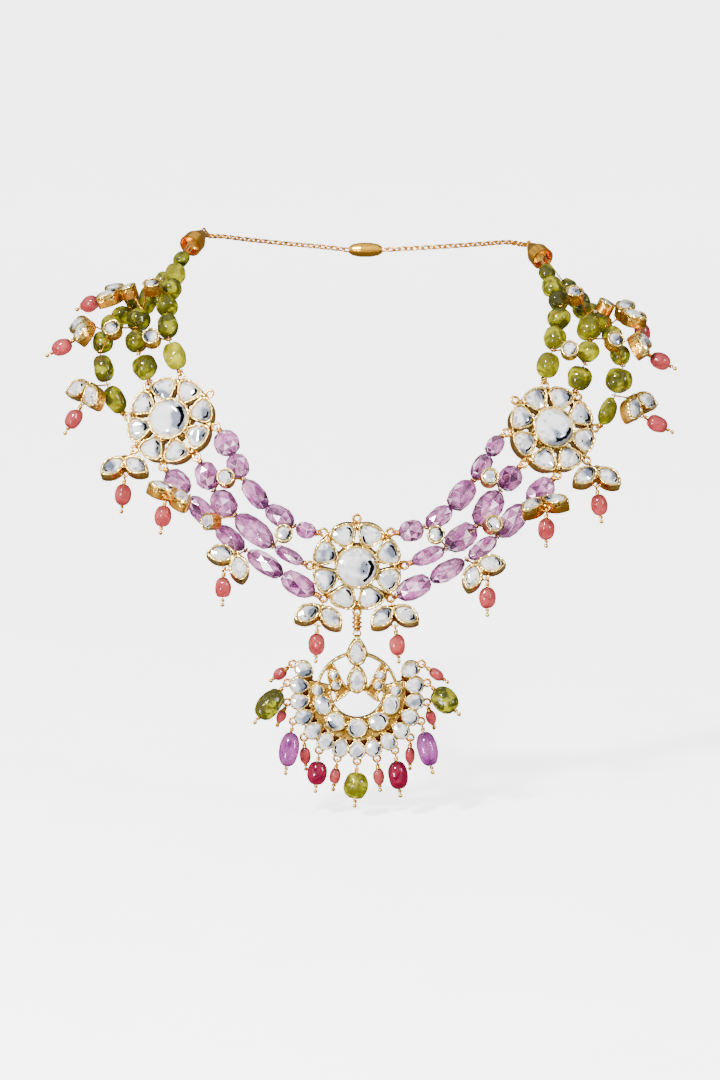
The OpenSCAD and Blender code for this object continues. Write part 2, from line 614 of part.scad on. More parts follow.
// Eye pin round a wire: its eye's middle, a vector near the eye's plane, the way it runs, the
// eye's other in-plane vector and the length of bead on it
ball_r = 0.7;
shank_less = 0.05;
pin_room = 1.4;
function pin_bead_from() = eye_r + pin_wire + pin_room;
module eye_pin(eye, in_plane, face, run, bead_len) {
    p = unit(run);
    axis = unit(cross(in_plane, face));
    place(eye, axis, p) ring(eye_r, pin_wire);
    end = pin_bead_from() + bead_len + pin_room + ball_r;
    rod(eye + p * (eye_r - 0.1), eye + p * end, pin_wire - shank_less);
    translate(eye + p * end) sphere(ball_r);
}
module pin_bead(eye, run, l, d) {
    place(eye + unit(run) * (pin_bead_from() + l / 2), run, sideways(run))
        round_bead(l, d, 0.42, 0.9);
}

// Pins and beads of the leaf pairs
leaf_bead_len = 7.4;
leaf_bead_d = 6;
function lower_loop(q) = leaf_top(q) + leaf_up(q) * lower_loop_y;
function leaf_pin_way(q) = -leaf_up(q);
function leaf_pin_eye(q) = lower_loop(q) + leaf_pin_way(q) * loop_r;
module leaf_pin(q) {
    eye_pin(leaf_pin_eye(q), leaf_pin_way(q), leaf_face(q), q[6], leaf_bead_len);
}
module leaf_bead(q) {
    pin_bead(leaf_pin_eye(q), q[6], leaf_bead_len, leaf_bead_d);
}
module leaf_pins(from) {
    color(gold) for (k = [from : from + a_side - 1]) leaf_pin(LEAVES[k]);
}
module leaf_beads(from) {
    color(pink) for (k = [from : from + a_side - 1]) leaf_bead(LEAVES[k]);
}

// Pendant: middle of the opening on its front face, and the drops round its edge from left
// to right, as length, diameter and the way each hangs
PENDANT = [-3, -74.25, -137.5];
pendant_step = 16.3;
setting_a = 3.3;
setting_b = 2.9;
setting_sides = 14;
band_r = 13.9;
band_w = 1.2;
pear_rise = 13.9;
pear_top = 20.2;
pendant_loop_r = row_r + setting_a + 0.9;
stone_plate = 0.5;
DROPS = [
    [5.4, 4.2, [-0.68, 0.5, -0.62]], [12, 8.4, [-0.62, -0.45, -0.7]],
    [6.4, 3.5, [-0.28, 0.6, -0.75]], [12, 7, [-0.14, -0.28, -0.95]],
    [6.4, 4, [0.05, 0.3, -0.95]], [8.2, 7, [-0.09, -0.1, -1]],
    [6, 4.2, [-0.12, 0.25, -1]], [9.4, 8.8, [-0.05, -0.15, -1]],
    [6.2, 4, [0.1, 0.25, -1]], [9.8, 7.4, [0.12, -0.1, -1]],
    [6.4, 3.6, [0, 0.35, -0.95]], [12, 7.6, [0.22, -0.2, -0.95]],
    [5.8, 3.8, [0.22, 0.5, -0.85]], [10, 8.8, [0.7, -0.45, -0.62]],
    [5.8, 4, [0.77, 0.3, -0.6]]
];
function drop_angle(k) = 270 + pendant_step * (k - 7);
module on_pendant() {
    place(PENDANT, [0, -1, 0], [1, 0, 0]) children();
}
function pendant_point(p) = PENDANT + [p.x, -p.z, p.y];
function drop_loop(k) = let (a = drop_angle(k))
    pendant_point([pendant_loop_r * cos(a), pendant_loop_r * sin(a), -pendant_t / 2]);
function drop_way(k) = across(DROPS[k][2], [0, 1, 0]);
function drop_eye(k) = drop_loop(k) + drop_way(k) * loop_r;
// Inner row of stones: angle, distance from the middle, and half sizes
INNER_ROW = [
    [176, 13.1, 1.6, 1.6], [199, 12.2, 3, 2.3], [233, 12.1, 3, 2.5], [270, 11.9, 2.8, 2.7],
    [307, 12.1, 3, 2.5], [341, 12.2, 3, 2.3], [4, 13.1, 1.6, 1.6]
];
side_leaf = [
    [-12.2, 6], [-8.4, 10], [-5.6, 5.4], [-2.6, 1.8], [-1.6, 0.3],
    [-4.4, -1.4], [-7.6, -3.4], [-8.6, 0.5], [-10, 3.4]
];
SIDE_STONES = [[-7.9, 5.6], [-7, 2.1]];
pear_a = 4.8;
pear_b = 3.5;
middle_pear_y = 4.5;
pear_point = 0.35;
module pendant_outline() {
    difference() {
        circle(band_r, $fn = 64);
        circle(band_r - band_w, $fn = 64);
    }
    intersection() {
        difference() {
            circle(ring_r + 0.6, $fn = 64);
            circle(opening_r, $fn = 64);
        }
        translate([-20, -20]) square([40, 23.4]);
    }
    for (k = [0 : len(DROPS) - 1]) rotate(drop_angle(k)) translate([row_r, 0])
        polygon(oval(setting_a, setting_b, setting_sides));
    for (y = [middle_pear_y, pear_rise]) translate([0, y]) rotate(90)
        polygon(oval(pear_a, pear_b, 16, pear_point));
    for (side = [0, 1]) mirror([side, 0]) polygon(side_leaf);
    translate([0, pear_top - 1.5]) square([1.2, 2], center = true);
}
module stone_plates() {
    for (k = [0 : len(DROPS) - 1]) rotate(drop_angle(k)) translate([row_r, 0])
        linear_extrude(stone_plate) polygon(oval(setting_a - 0.9, setting_b - 0.8, 10));
    for (q = INNER_ROW) rotate(q[0]) translate([q[1], 0])
        linear_extrude(stone_plate) polygon(oval(q[3], q[2], 10));
    for (q = SIDE_STONES, side = [0, 1]) mirror([side, 0]) translate(q)
        linear_extrude(stone_plate) polygon(oval(1.3, 1.3, 8));
}
module pendant_frame() {
    color(gold) on_pendant() {
        difference() {
            translate([0, 0, -pendant_t]) linear_extrude(pendant_t) pendant_outline();
            for (y = [middle_pear_y, pear_rise]) translate([0, y, -pocket_deep]) rotate(90)
                linear_extrude(pocket_deep + 1) polygon(oval(pear_a - 0.8, pear_b - 0.8, 16, pear_point));
        }
        translate([0, 0, -0.2]) stone_plates();
        translate([0, pear_top, -pendant_t / 2]) ring(loop_r, loop_wire);
        for (k = [0 : len(DROPS) - 1]) rotate(drop_angle(k))
            translate([pendant_loop_r, 0, -pendant_t / 2]) ring(loop_r, loop_wire);
    }
}
module pendant_pears() {
    color(crystal) on_pendant() for (y = [middle_pear_y, pear_rise])
        translate([0, y, seat_gap - pocket_deep]) rotate(90)
            cut_stone(oval(pear_a - 1, pear_b - 1, 16, pear_point), 1.1, 2, 0.6);
}
// Stack of gold rings between the medallion's lowest loop and the pendant's top loop
hinge_at = rim_loop(CENTRE, 6) + [0, 0, -loop_r];
bail_rings = 4;
module pendant_bail() {
    low = pendant_point([0, pear_top + loop_r, -pendant_t / 2]);
    top_z = hinge_at.z - eye_r;
    stack = top_z - (low.z + eye_r);
    color(gold) {
        for (p = [hinge_at, low]) translate(p) rotate([0, 90, 0]) ring(eye_r, pin_wire);
        translate([low.x, low.y, low.z + eye_r]) cylinder(stack, 0.5, 0.5);
        for (k = [0 : bail_rings - 1])
            translate([low.x, low.y, low.z + eye_r + stack * (k + 0.5) / bail_rings])
                ring(0.75, 0.38);
    }
}
module pendant_pins() {
    color(gold) for (k = [0 : len(DROPS) - 1])
        eye_pin(drop_eye(k), drop_way(k), [0, 1, 0], DROPS[k][2], DROPS[k][0]);
}
module pendant_beads(places, shade) {
    color(shade) for (k = places) pin_bead(drop_eye(k), DROPS[k][2], DROPS[k][0], DROPS[k][1]);
}

medallion(LEFT);  // medallion_left
medallion(CENTRE);  // medallion_centre
medallion(RIGHT);  // medallion_right
medallion_stones(LEFT);  // medallion_left_stones
medallion_stones(CENTRE);  // medallion_centre_stones
medallion_stones(RIGHT);  // medallion_right_stones
bead_string(0);  // green_left_inner
bead_string(1);  // green_left_middle
bead_string(2);  // green_left_outer
bead_string(3);  // green_right_inner
bead_string(4);  // green_right_middle
bead_string(5);  // green_right_outer
bead_string(6);  // violet_left_inner
bead_string(7);  // violet_left_middle
bead_string(8);  // violet_left_outer
bead_string(9);  // violet_right_inner
bead_string(10);  // violet_right_middle
bead_string(11);  // violet_right_outer
threads(0);  // threads_green_left
threads(3);  // threads_green_right
threads(6);  // threads_violet_left
threads(9);  // threads_violet_right
collets(0);  // collets_left
collets(a_side);  // collets_right
collet_stones(0);  // collet_stones_left
collet_stones(a_side);  // collet_stones_right
leaf_pair(0);  // leaf_left_1
leaf_pair(1);  // leaf_left_2
leaf_pair(2);  // leaf_left_3
leaf_pair(3);  // leaf_left_4
leaf_pair(4);  // leaf_left_5
leaf_pair(5);  // leaf_left_6
leaf_pair(6);  // leaf_left_7
leaf_pair(7);  // leaf_right_1
leaf_pair(8);  // leaf_right_2
leaf_pair(9);  // leaf_right_3
leaf_pair(10);  // leaf_right_4
leaf_pair(11);  // leaf_right_5
leaf_pair(12);  // leaf_right_6
leaf_pair(13);  // leaf_right_7
leaf_stones(0);  // leaf_stones_left
leaf_stones(a_side);  // leaf_stones_right
leaf_beads(0);  // leaf_beads_left
leaf_beads(a_side);  // leaf_beads_right
leaf_pins(0);  // leaf_pins_left
leaf_pins(a_side);  // leaf_pins_right
pendant_frame();
pendant_pears();
pendant_bail();
pendant_pins();
pendant_beads([0 : 2 : 14], pink);  // pendant_pink_beads
pendant_beads([5, 9], ruby);  // pendant_ruby_beads
pendant_beads([3, 11], violet);  // pendant_violet_beads
pendant_beads([1, 7, 13], olive);  // pendant_green_beads
end_cap(0);  // end_cap_left
end_cap(1);  // end_cap_right
back_chain(0);  // back_chain_left
back_chain(1);  // back_chain_right
clasp();
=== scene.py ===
import math
import random

import bmesh
import bpy
import numpy as np
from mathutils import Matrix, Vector, noise


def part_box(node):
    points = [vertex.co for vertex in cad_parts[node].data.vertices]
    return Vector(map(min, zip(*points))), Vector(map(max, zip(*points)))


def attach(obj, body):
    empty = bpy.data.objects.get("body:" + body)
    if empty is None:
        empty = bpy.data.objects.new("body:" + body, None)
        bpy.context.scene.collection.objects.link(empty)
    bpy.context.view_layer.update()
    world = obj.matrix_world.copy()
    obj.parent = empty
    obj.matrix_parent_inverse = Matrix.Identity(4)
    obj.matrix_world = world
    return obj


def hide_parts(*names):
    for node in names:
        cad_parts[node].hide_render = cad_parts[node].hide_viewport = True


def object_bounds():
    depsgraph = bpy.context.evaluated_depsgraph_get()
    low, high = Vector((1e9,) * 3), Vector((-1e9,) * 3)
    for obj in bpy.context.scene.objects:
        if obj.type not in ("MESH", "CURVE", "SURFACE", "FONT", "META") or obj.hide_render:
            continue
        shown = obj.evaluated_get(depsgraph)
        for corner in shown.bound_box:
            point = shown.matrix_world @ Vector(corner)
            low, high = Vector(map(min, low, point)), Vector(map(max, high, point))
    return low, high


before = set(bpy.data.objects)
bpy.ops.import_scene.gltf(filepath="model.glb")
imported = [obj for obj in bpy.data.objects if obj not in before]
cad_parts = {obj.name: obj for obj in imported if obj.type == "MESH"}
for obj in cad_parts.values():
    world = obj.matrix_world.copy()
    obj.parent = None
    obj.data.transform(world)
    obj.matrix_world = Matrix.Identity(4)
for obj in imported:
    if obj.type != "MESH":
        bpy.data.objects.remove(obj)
cad_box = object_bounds()


# Gold. Every setting is a cup of thick gold foil burnished by hand over resin and wire, so its
# edges are soft and lumpy and its walls are smooth. Its walls, creases and hollows are painted a
# darker, redder gold as painted shade, and its ridges a paler gold as painted highlights.
def rgb(code):
    """Linear colour of a hex code."""
    parts = [int(code[i:i + 2], 16) / 255 for i in (0, 2, 4)]
    parts = [c / 12.92 if c < 0.04045 else ((c + 0.055) / 1.055) ** 2.4 for c in parts]
    return (*parts, 1.0)


def grey(value):
    return (value, value, value, 1.0)


class Nodes:
    """Node tree of a new material, with short calls for the nodes used here."""

    def __init__(self, name):
        self.mat = bpy.data.materials.new(name)
        self.mat.use_nodes = True
        self.tree = self.mat.node_tree
        self.shader = self.tree.nodes["Principled BSDF"]
        self.place = self.tree.nodes.new("ShaderNodeTexCoord").outputs["Object"]

    def link(self, out, to, socket=0):
        to = to.inputs[socket] if hasattr(to, "inputs") else to
        self.tree.links.new(out, to)

    def noise(self, scale, detail=3.0, rough=0.5, warp=0.0):
        n = self.tree.nodes.new("ShaderNodeTexNoise")
        n.inputs["Scale"].default_value = scale
        n.inputs["Detail"].default_value = detail
        n.inputs["Roughness"].default_value = rough
        n.inputs["Distortion"].default_value = warp
        self.link(self.place, n, "Vector")
        return n.outputs["Fac"]

    def cells(self, scale):
        n = self.tree.nodes.new("ShaderNodeTexVoronoi")
        n.inputs["Scale"].default_value = scale
        self.link(self.place, n, "Vector")
        return n.outputs["Distance"]

    def ramp(self, fac, stops):
        n = self.tree.nodes.new("ShaderNodeValToRGB")
        ends = n.color_ramp.elements
        while len(ends) < len(stops):
            ends.new(0.5)
        for e, (pos, colour) in zip(ends, stops):
            e.position = pos
            e.color = colour
        self.link(fac, n)
        return n.outputs["Color"]

    def mix(self, fac, a, b, blend="MIX"):
        n = self.tree.nodes.new("ShaderNodeMix")
        n.data_type = "RGBA"
        n.blend_type = blend
        for value, socket in ((fac, "Factor_Float"), (a, "A_Color"), (b, "B_Color")):
            socket = next(s for s in n.inputs if s.identifier == socket)
            if hasattr(value, "is_linked"):
                self.tree.links.new(value, socket)
            else:
                socket.default_value = value
        return next(s for s in n.outputs if s.identifier == "Result_Color")

    def maths(self, op, a, b=0.0, clamp=False):
        n = self.tree.nodes.new("ShaderNodeMath")
        n.operation = op
        n.use_clamp = clamp
        for i, value in enumerate((a, b)):
            if hasattr(value, "is_linked"):
                self.tree.links.new(value, n.inputs[i])
            else:
                n.inputs[i].default_value = value
        return n.outputs[0]

    def attribute(self, name):
        n = self.tree.nodes.new("ShaderNodeAttribute")
        n.attribute_name = name
        return n.outputs["Fac"]

    def bump(self, height, strength, distance):
        n = self.tree.nodes.new("ShaderNodeBump")
        n.inputs["Strength"].default_value = strength
        n.inputs["Distance"].default_value = distance
        self.link(height, n, "Height")
        self.link(n.outputs["Normal"], self.shader, "Normal")

    def set(self, **values):
        for name, value in values.items():
            self.shader.inputs[name.replace("_", " ")].default_value = value


def gold_material(name, light, middle, dark, wall):
    """Gold that reads the numbers painted on the foil's points: where its front is, how much
    painted shade its deep hollows and folds get, and how much painted highlight its raised edges
    get. Its walls are a darker gold, as painted shade. Wire has none of the numbers, so it takes
    the plain colour and shine of the walls."""
    rough = 0.1
    wall_rough = 0.26
    m = Nodes(name)
    worn = m.noise(310, 4, 0.6, 0.4)
    fine = m.noise(1500, 3)
    foil = m.ramp(worn, [(0.34, rgb(dark)), (0.48, rgb(middle)), (0.64, rgb(light))])
    # The walls take a darker, more orange gold than the front foil: painted shade on the sides.
    side = m.ramp(m.noise(160, 2), [(0.35, rgb(wall)), (0.75, rgb(middle))])
    front = m.attribute("front")
    # Ridges are mixed towards the light colour: a painted highlight.
    with_ridge_highlight = m.mix(m.attribute("ridge_highlight"), m.mix(front, side, foil), rgb(light))
    # Creases are mixed towards dark brown: painted shade.
    with_crease_shade = m.mix(m.attribute("crease_shade"), with_ridge_highlight, rgb("241000"))
    # Deep hollows are mixed towards dark red-brown: painted shade.
    m.link(m.mix(m.attribute("deep"), with_crease_shade, rgb("3c1602")), m.shader, "Base Color")
    worn_shine = m.ramp(fine, [(0.3, grey(rough)), (0.75, grey(rough + 0.16))])
    m.link(m.mix(front, grey(wall_rough), worn_shine), m.shader, "Roughness")
    m.set(Metallic=1.0)
    dents = m.mix(0.3, m.noise(700, 3), fine)
    m.bump(m.mix(front, m.noise(120, 1), dents), 0.7, 0.0004)
    return m.mat


foil_gold = gold_material(
    "foil_gold", light="ffe68a", middle="f8ba3c", dark="8e560a", wall="d08a34",
)
wire_gold = gold_material(
    "wire_gold", light="ffe68a", middle="f8ba3c", dark="a8680e", wall="f0b040",
)


def mesh_piece(name, points, faces, material, smooth=True):
    mesh = bpy.data.meshes.new(name)
    mesh.from_pydata([tuple(p) for p in points], [], [tuple(f) for f in faces])
    mesh.polygons.foreach_set("use_smooth", [smooth] * len(mesh.polygons))
    mesh.materials.append(material)
    mesh.update()
    piece = bpy.data.objects.new(name, mesh)
    bpy.context.scene.collection.objects.link(piece)
    return piece


def joined(parts):
    """Points and faces of several parts as one mesh."""
    points, faces = [], []
    for more_points, more_faces in parts:
        start = len(points)
        points += list(more_points)
        faces += [tuple(i + start for i in f) for f in more_faces]
    return points, faces


def paint(mesh, label, domain, values):
    """One number for each point or face, which the material reads."""
    mesh.attributes.new(label, "FLOAT", domain).data.foreach_set("value", values)


def solids_of(node):
    """Points and faces of each loose solid of a CAD node."""
    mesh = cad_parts[node].data
    at = {}
    key = []
    for v in mesh.vertices:
        key.append(at.setdefault(tuple(round(c, 7) for c in v.co), len(at)))
    points = list(at)
    parent = list(range(len(points)))

    def root(i):
        while parent[i] != i:
            parent[i] = parent[parent[i]]
            i = parent[i]
        return i

    faces = [[key[i] for i in f.vertices] for f in mesh.polygons]
    for f in faces:
        for i in f[1:]:
            parent[root(i)] = root(f[0])
    groups = {}
    for f in faces:
        groups.setdefault(root(f[0]), []).append(f)
    solids = []
    for group in groups.values():
        used = sorted({i for f in group for i in f})
        new = {i: k for k, i in enumerate(used)}
        solids.append((
            np.array([points[i] for i in used]),
            [[new[i] for i in f] for f in group],
        ))
    return sorted(solids, key=lambda s: tuple(np.round(s[0].mean(0), 5)))


def unit(v):
    return v / np.linalg.norm(v)


def square_to(way, hint):
    """Two ways square to a way and to each other."""
    side = unit(np.cross(way, hint))
    return side, np.cross(way, side)


def seat_of(solid):
    """Outline of a cut stone's flat bottom, its middle and the way that the stone faces."""
    points, faces = solid
    best = {}
    for f in faces:
        a, b, c = (points[i] for i in f[:3])
        n = np.cross(b - a, c - a)
        area = np.linalg.norm(n)
        if area < 1e-14:
            continue
        way = tuple(np.round(n / area, 2))
        entry = best.setdefault(way, [0.0, np.zeros(3), set()])
        entry[0] += area
        entry[1] += n
        entry[2].update(f)
    _, total, corners = max(best.values(), key=lambda e: e[0])
    up = -unit(total)
    ring = np.array([points[i] for i in corners])
    middle = ring.mean(0)
    right = unit(ring[np.argmax(np.linalg.norm(ring - middle, axis=1))] - middle)
    ahead = np.cross(up, right)
    flat = np.stack([(ring - middle) @ right, (ring - middle) @ ahead], 1)
    order = np.argsort(np.arctan2(flat[:, 1], flat[:, 0]))
    return flat[order], middle, right, ahead, up


def even_outline(flat, count):
    """The same closed outline with its points evenly spaced."""
    loop = np.vstack([flat, flat[:1]])
    steps = np.linalg.norm(np.diff(loop, axis=0), axis=1)
    along = np.concatenate([[0], np.cumsum(steps)])
    wanted = np.linspace(0, along[-1], count, endpoint=False)
    return np.stack([np.interp(wanted, along, loop[:, k]) for k in (0, 1)], 1)


def grown(flat, by):
    """The outline moved outwards by a distance."""
    ahead = np.roll(flat, -1, 0) - np.roll(flat, 1, 0)
    ahead /= np.linalg.norm(ahead, axis=1)[:, None]
    return flat + by * np.stack([ahead[:, 1], -ahead[:, 0]], 1)


def bead_edge(path, radius, uneven, seed, sides=8):
    """Closed tube along a line of points, as thick and thin as burnished foil."""
    n = len(path)
    points, faces = [], []
    for i, p in enumerate(path):
        side, other = square_to(unit(path[(i + 1) % n] - path[i - 1]), (0.3, 0.5, 0.81))
        r = radius * (1 + uneven * noise.noise(Vector(p) * 900 + Vector((seed, 0, 0))))
        for k in range(sides):
            t = 2 * math.pi * k / sides
            points.append(p + r * (math.cos(t) * side + math.sin(t) * other))
            faces.append((
                i * sides + k, i * sides + (k + 1) % sides,
                (i + 1) % n * sides + (k + 1) % sides, (i + 1) % n * sides + k,
            ))
    return points, faces


def foil_edge(seat, count, gap, radius, seed, height=0.0014):
    """Edge burnished round a stone, at a gap from its outline and a height above its seat."""
    flat, middle, right, ahead, up = seat
    line = grown(even_outline(flat, count), gap)
    path = [middle + x * right + y * ahead + height * up for x, y in line]
    return bead_edge(path, radius, 0.5, seed)


def foil_piece(name, node, edges, seats, voxel, lump, hollow_shade=0.0, within=1.0, crease_shade_strength=0.9, carry=True):
    """A setting as its CAD solid with foil edges burnished on, in one soft skin. Its front is
    what lies above the seats of the stones; below them are its plain walls and its hollows."""
    front_depth = 0.0009
    hollow_depth = 0.0016
    parts = list(edges)
    if carry:
        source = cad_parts[node].data
        points = [np.array(v.co) for v in source.vertices]
        parts.insert(0, (points, [tuple(f.vertices) for f in source.polygons]))
    piece = mesh_piece(name, *joined(parts), foil_gold)
    skin = piece.modifiers.new("skin", "REMESH")
    skin.mode = "VOXEL"
    skin.voxel_size = voxel
    soft = piece.modifiers.new("soft", "SMOOTH")
    soft.iterations = 3
    soft.factor = 0.5
    depsgraph = bpy.context.evaluated_depsgraph_get()
    mesh = bpy.data.meshes.new_from_object(piece.evaluated_get(depsgraph))
    piece.modifiers.clear()
    piece.data = mesh
    mesh.materials.clear()
    mesh.materials.append(foil_gold)
    places = np.array([v.co for v in mesh.vertices])
    middles = np.array([seat[1] for seat in seats])
    ups = np.array([seat[4] for seat in seats])
    nearest = np.argmin(((places[:, None] - middles[None]) ** 2).sum(2), 1)
    height = ((places - middles[nearest]) * ups[nearest]).sum(1)
    front = np.clip((height + front_depth) / 0.0008, 0, 1)
    inside = np.linalg.norm(places - middles.mean(0), axis=1) < within
    # Points well below the seats, in the hollows, get painted shade.
    deep = hollow_shade * inside * np.clip((-hollow_depth - height) / 0.001, 0, 1)
    normals = [v.normal.copy() for v in mesh.vertices]
    deep = deep * ((np.array(normals) * ups[nearest]).sum(1) > -0.6)
    for v, n, f in zip(mesh.vertices, normals, front):
        v.co += n * lump * f * (noise.noise(v.co * 800) + 0.5 * noise.noise(v.co * 1900))
    places = np.array([v.co for v in mesh.vertices])
    lines = np.array([e.vertices for e in mesh.edges])
    near = np.bincount(lines.ravel(), minlength=len(places))

    def average(values):
        total = np.zeros_like(values)
        np.add.at(total, lines[:, 0], values[lines[:, 1]])
        np.add.at(total, lines[:, 1], values[lines[:, 0]])
        return (total.T / near).T

    # Where the neighbours of a point stand higher, it lies in a crease and gets painted shade; else
    # it lies on a ridge and gets a painted highlight.
    bend = ((average(places) - places) * np.array(normals)).sum(1) / voxel
    bend = 0.5 * bend + 0.5 * average(bend)
    # The strength argument scales how much painted shade a crease gets.
    crease_shade = crease_shade_strength * np.clip(15 * bend - 0.3, 0, 1) * front
    ridge_highlight = np.clip(-9 * bend - 0.1, 0, 1) * front
    for label, values in (("front", front), ("deep", deep), ("crease_shade", crease_shade), ("ridge_highlight", ridge_highlight)):
        paint(mesh, label, "POINT", values)
    mesh.polygons.foreach_set("use_smooth", [True] * len(mesh.polygons))
    mesh.update()
    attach(piece, "pendant" if node.startswith("pendant") else "collar")
    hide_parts(node)


# Cut stones. Clear stones with a domed, loosely faceted face, set over bright silver foil. Each
# facet is painted white or grey, with a dark crescent and dark dots, as painted reflections of the
# white surroundings and of something dark; the stones also mirror the room.
def stone_material():
    """Silver with painted reflections: greyer towards one side and on some facets, with a dark
    crescent along that side of the rim and small dark dots.
    """
    m = Nodes("foil_backed_stone")
    # Grey towards the dark side and on some facets: painted reflections on the silver.
    cloud = m.noise(190, 1, 0.4, 0.2)
    tide = m.maths("ADD", m.maths("MULTIPLY", m.attribute("toward_dark_reflection"), 0.16), cloud)
    silver = m.ramp(tide, [(0.42, rgb("ffffff")), (0.54, rgb("f2f3f6")), (0.68, rgb("7c8494"))])
    facets = m.ramp(m.attribute("facet_reflection"), [(0.0, rgb("a4a8b4")), (0.4, rgb("ffffff"))])
    silver = m.mix(1.0, silver, facets, "MULTIPLY")
    # A dark crescent on the rim of one side and small dark dots: painted reflections of something
    # dark.
    wave = m.maths("MULTIPLY", m.noise(420, 2, 0.5, 0.4), 0.3)
    rim = m.ramp(m.maths("ADD", m.attribute("rim"), wave), [
        (0.8, grey(0)), (0.82, grey(1)), (1.08, grey(1)), (1.1, grey(0)),
    ])
    part = m.maths("ADD", m.attribute("toward_dark_reflection"), m.maths("MULTIPLY", wave, 2.5))
    half = m.ramp(m.maths("MULTIPLY", part, 0.5), [(0.5, grey(0)), (0.52, grey(1))])
    crescent = m.mix(1.0, rim, half, "MULTIPLY")
    dots = m.ramp(m.cells(260), [(0.085, grey(1)), (0.095, grey(0))])
    dark = m.mix(1.0, crescent, dots, "ADD")
    m.link(m.mix(dark, silver, rgb("020203")), m.shader, "Base Color")
    m.set(Metallic=0.7, Roughness=0.02, Specular_IOR_Level=0.1)
    m.bump(m.noise(260, 1), 0.1, 0.0006)
    return m.mat


stone = stone_material()


def domed_stone(seat, rise, count, rows, seed, grow=0.0):
    """Points and faces of a stone: a low wall, rows of facets, and a table that isn't flat."""
    flat, middle, right, ahead, up = seat
    rng = random.Random(seed)
    outline = grown(even_outline(flat, count), grow)
    tilt = np.array([rng.uniform(-0.1, 0.1), rng.uniform(-0.1, 0.1)])
    centre = outline.mean(0)
    # The side of each stone where its painted dark reflection lies.
    dark_reflection_side = rng.choice((-0.4, 0.1, 0.5, 2.6)) + rng.uniform(-0.4, 0.4)
    reach = np.linalg.norm(outline - centre, axis=1).max()
    points, marks = [], []
    for r, (scale, height) in enumerate(rows):
        turn = 0.5 * (r % 2) if r else 0.0
        spots = (1 - turn) * outline + turn * np.roll(outline, -1, 0)
        spots = centre + (spots - centre) * scale
        for x, y in spots:
            z = rise * height + (scale < 0.9) * (x * tilt[0] + y * tilt[1])
            if r > 1:
                z += rise * rng.uniform(-0.02, 0.02)
            points.append(middle + x * right + y * ahead + z * up)
            spoke = (x - centre[0]) * right + (y - centre[1]) * ahead
            toward = spoke @ (math.cos(dark_reflection_side), 0, -math.sin(dark_reflection_side))
            marks.append((scale, toward / (reach * scale)))
    faces = []
    for r in range(len(rows) - 1):
        for k in range(count):
            a, b = r * count + k, r * count + (k + 1) % count
            c, d = a + count, b + count
            if r % 2:
                faces += [(a, d, c), (a, b, d)]
            else:
                faces += [(a, b, c), (b, d, c)]
    faces.append(tuple((len(rows) - 1) * count + k for k in range(count)))
    faces.append(tuple(reversed(range(count))))
    return points, faces, marks


def stones_mesh(name, made, lowest_facet_reflection=0.0):
    points, faces = joined([(more_points, more_faces) for more_points, more_faces, _ in made])
    marks = [mark for *_, more_marks in made for mark in more_marks]
    piece = mesh_piece(name, points, faces, stone, smooth=False)
    for k, label in enumerate(("rim", "toward_dark_reflection")):
        paint(piece.data, label, "POINT", [mark[k] for mark in marks])
    rng = random.Random(len(faces))
    # Each face gets its own brightness for the painted reflections, never below the lowest given.
    paint(piece.data, "facet_reflection", "FACE", [max(lowest_facet_reflection, rng.random()) for _ in faces])
    return piece


def stone_piece(name, node, solids, rise, count, rows, seed, grow=0.0, lowest_facet_reflection=0.0):
    piece = stones_mesh(name, [
        domed_stone(seat_of(solid), rise, count, rows, seed + k, grow)
        for k, solid in enumerate(solids)
    ], lowest_facet_reflection)
    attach(piece, "pendant" if node.startswith("pendant") else "collar")
    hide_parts(node)


# Flower medallions. Each is a soldered gold cup with eight fan-shaped stones round a large
# domed centre stone. Foil is burnished up round every stone and round the pierced triangles.
# Eight wire loops round its wall take the strings, the leaf pairs and the pendant.
crown_reach = 0.0056
rim_spoke = 15.95
rim_drop = 2.25
# Middle in millimetres, the way across and the way that the flower faces.
RIMS = {
    "left": ((-66.5, -47, -48.5), (0.95, -0.3, -0.07), (-0.26, -0.87, 0.42)),
    "centre": ((-3, -75, -94), (1, 0, 0), (0, -1, 0)),
    "right": ((63.5, -47, -51.5), (0.95, 0.3, 0), (0.26, -0.87, 0.42)),
}
# Rows of facets from the girdle up, each with its share of the outline and of the height.
CROWN_CUT = {
    "rise": 0.0034, "count": 26, "grow": 0.0009, "lowest_facet_reflection": 0.4,
    "rows": [(1.0, 0.0), (1.0, 0.3), (0.92, 0.58), (0.8, 0.8), (0.6, 0.95)],
}
FAN_CUT = {
    "rise": 0.0021, "count": 14, "grow": 0.0004,
    "rows": [(1.0, 0.0), (1.0, 0.5), (0.86, 0.8), (0.55, 0.97)],
}
rim_loops = []


def loop_of(middle, right, ahead, radius, count=20):
    turns = np.linspace(0, 2 * math.pi, count, endpoint=False)
    return [middle + radius * (math.cos(t) * right + math.sin(t) * ahead) for t in turns]


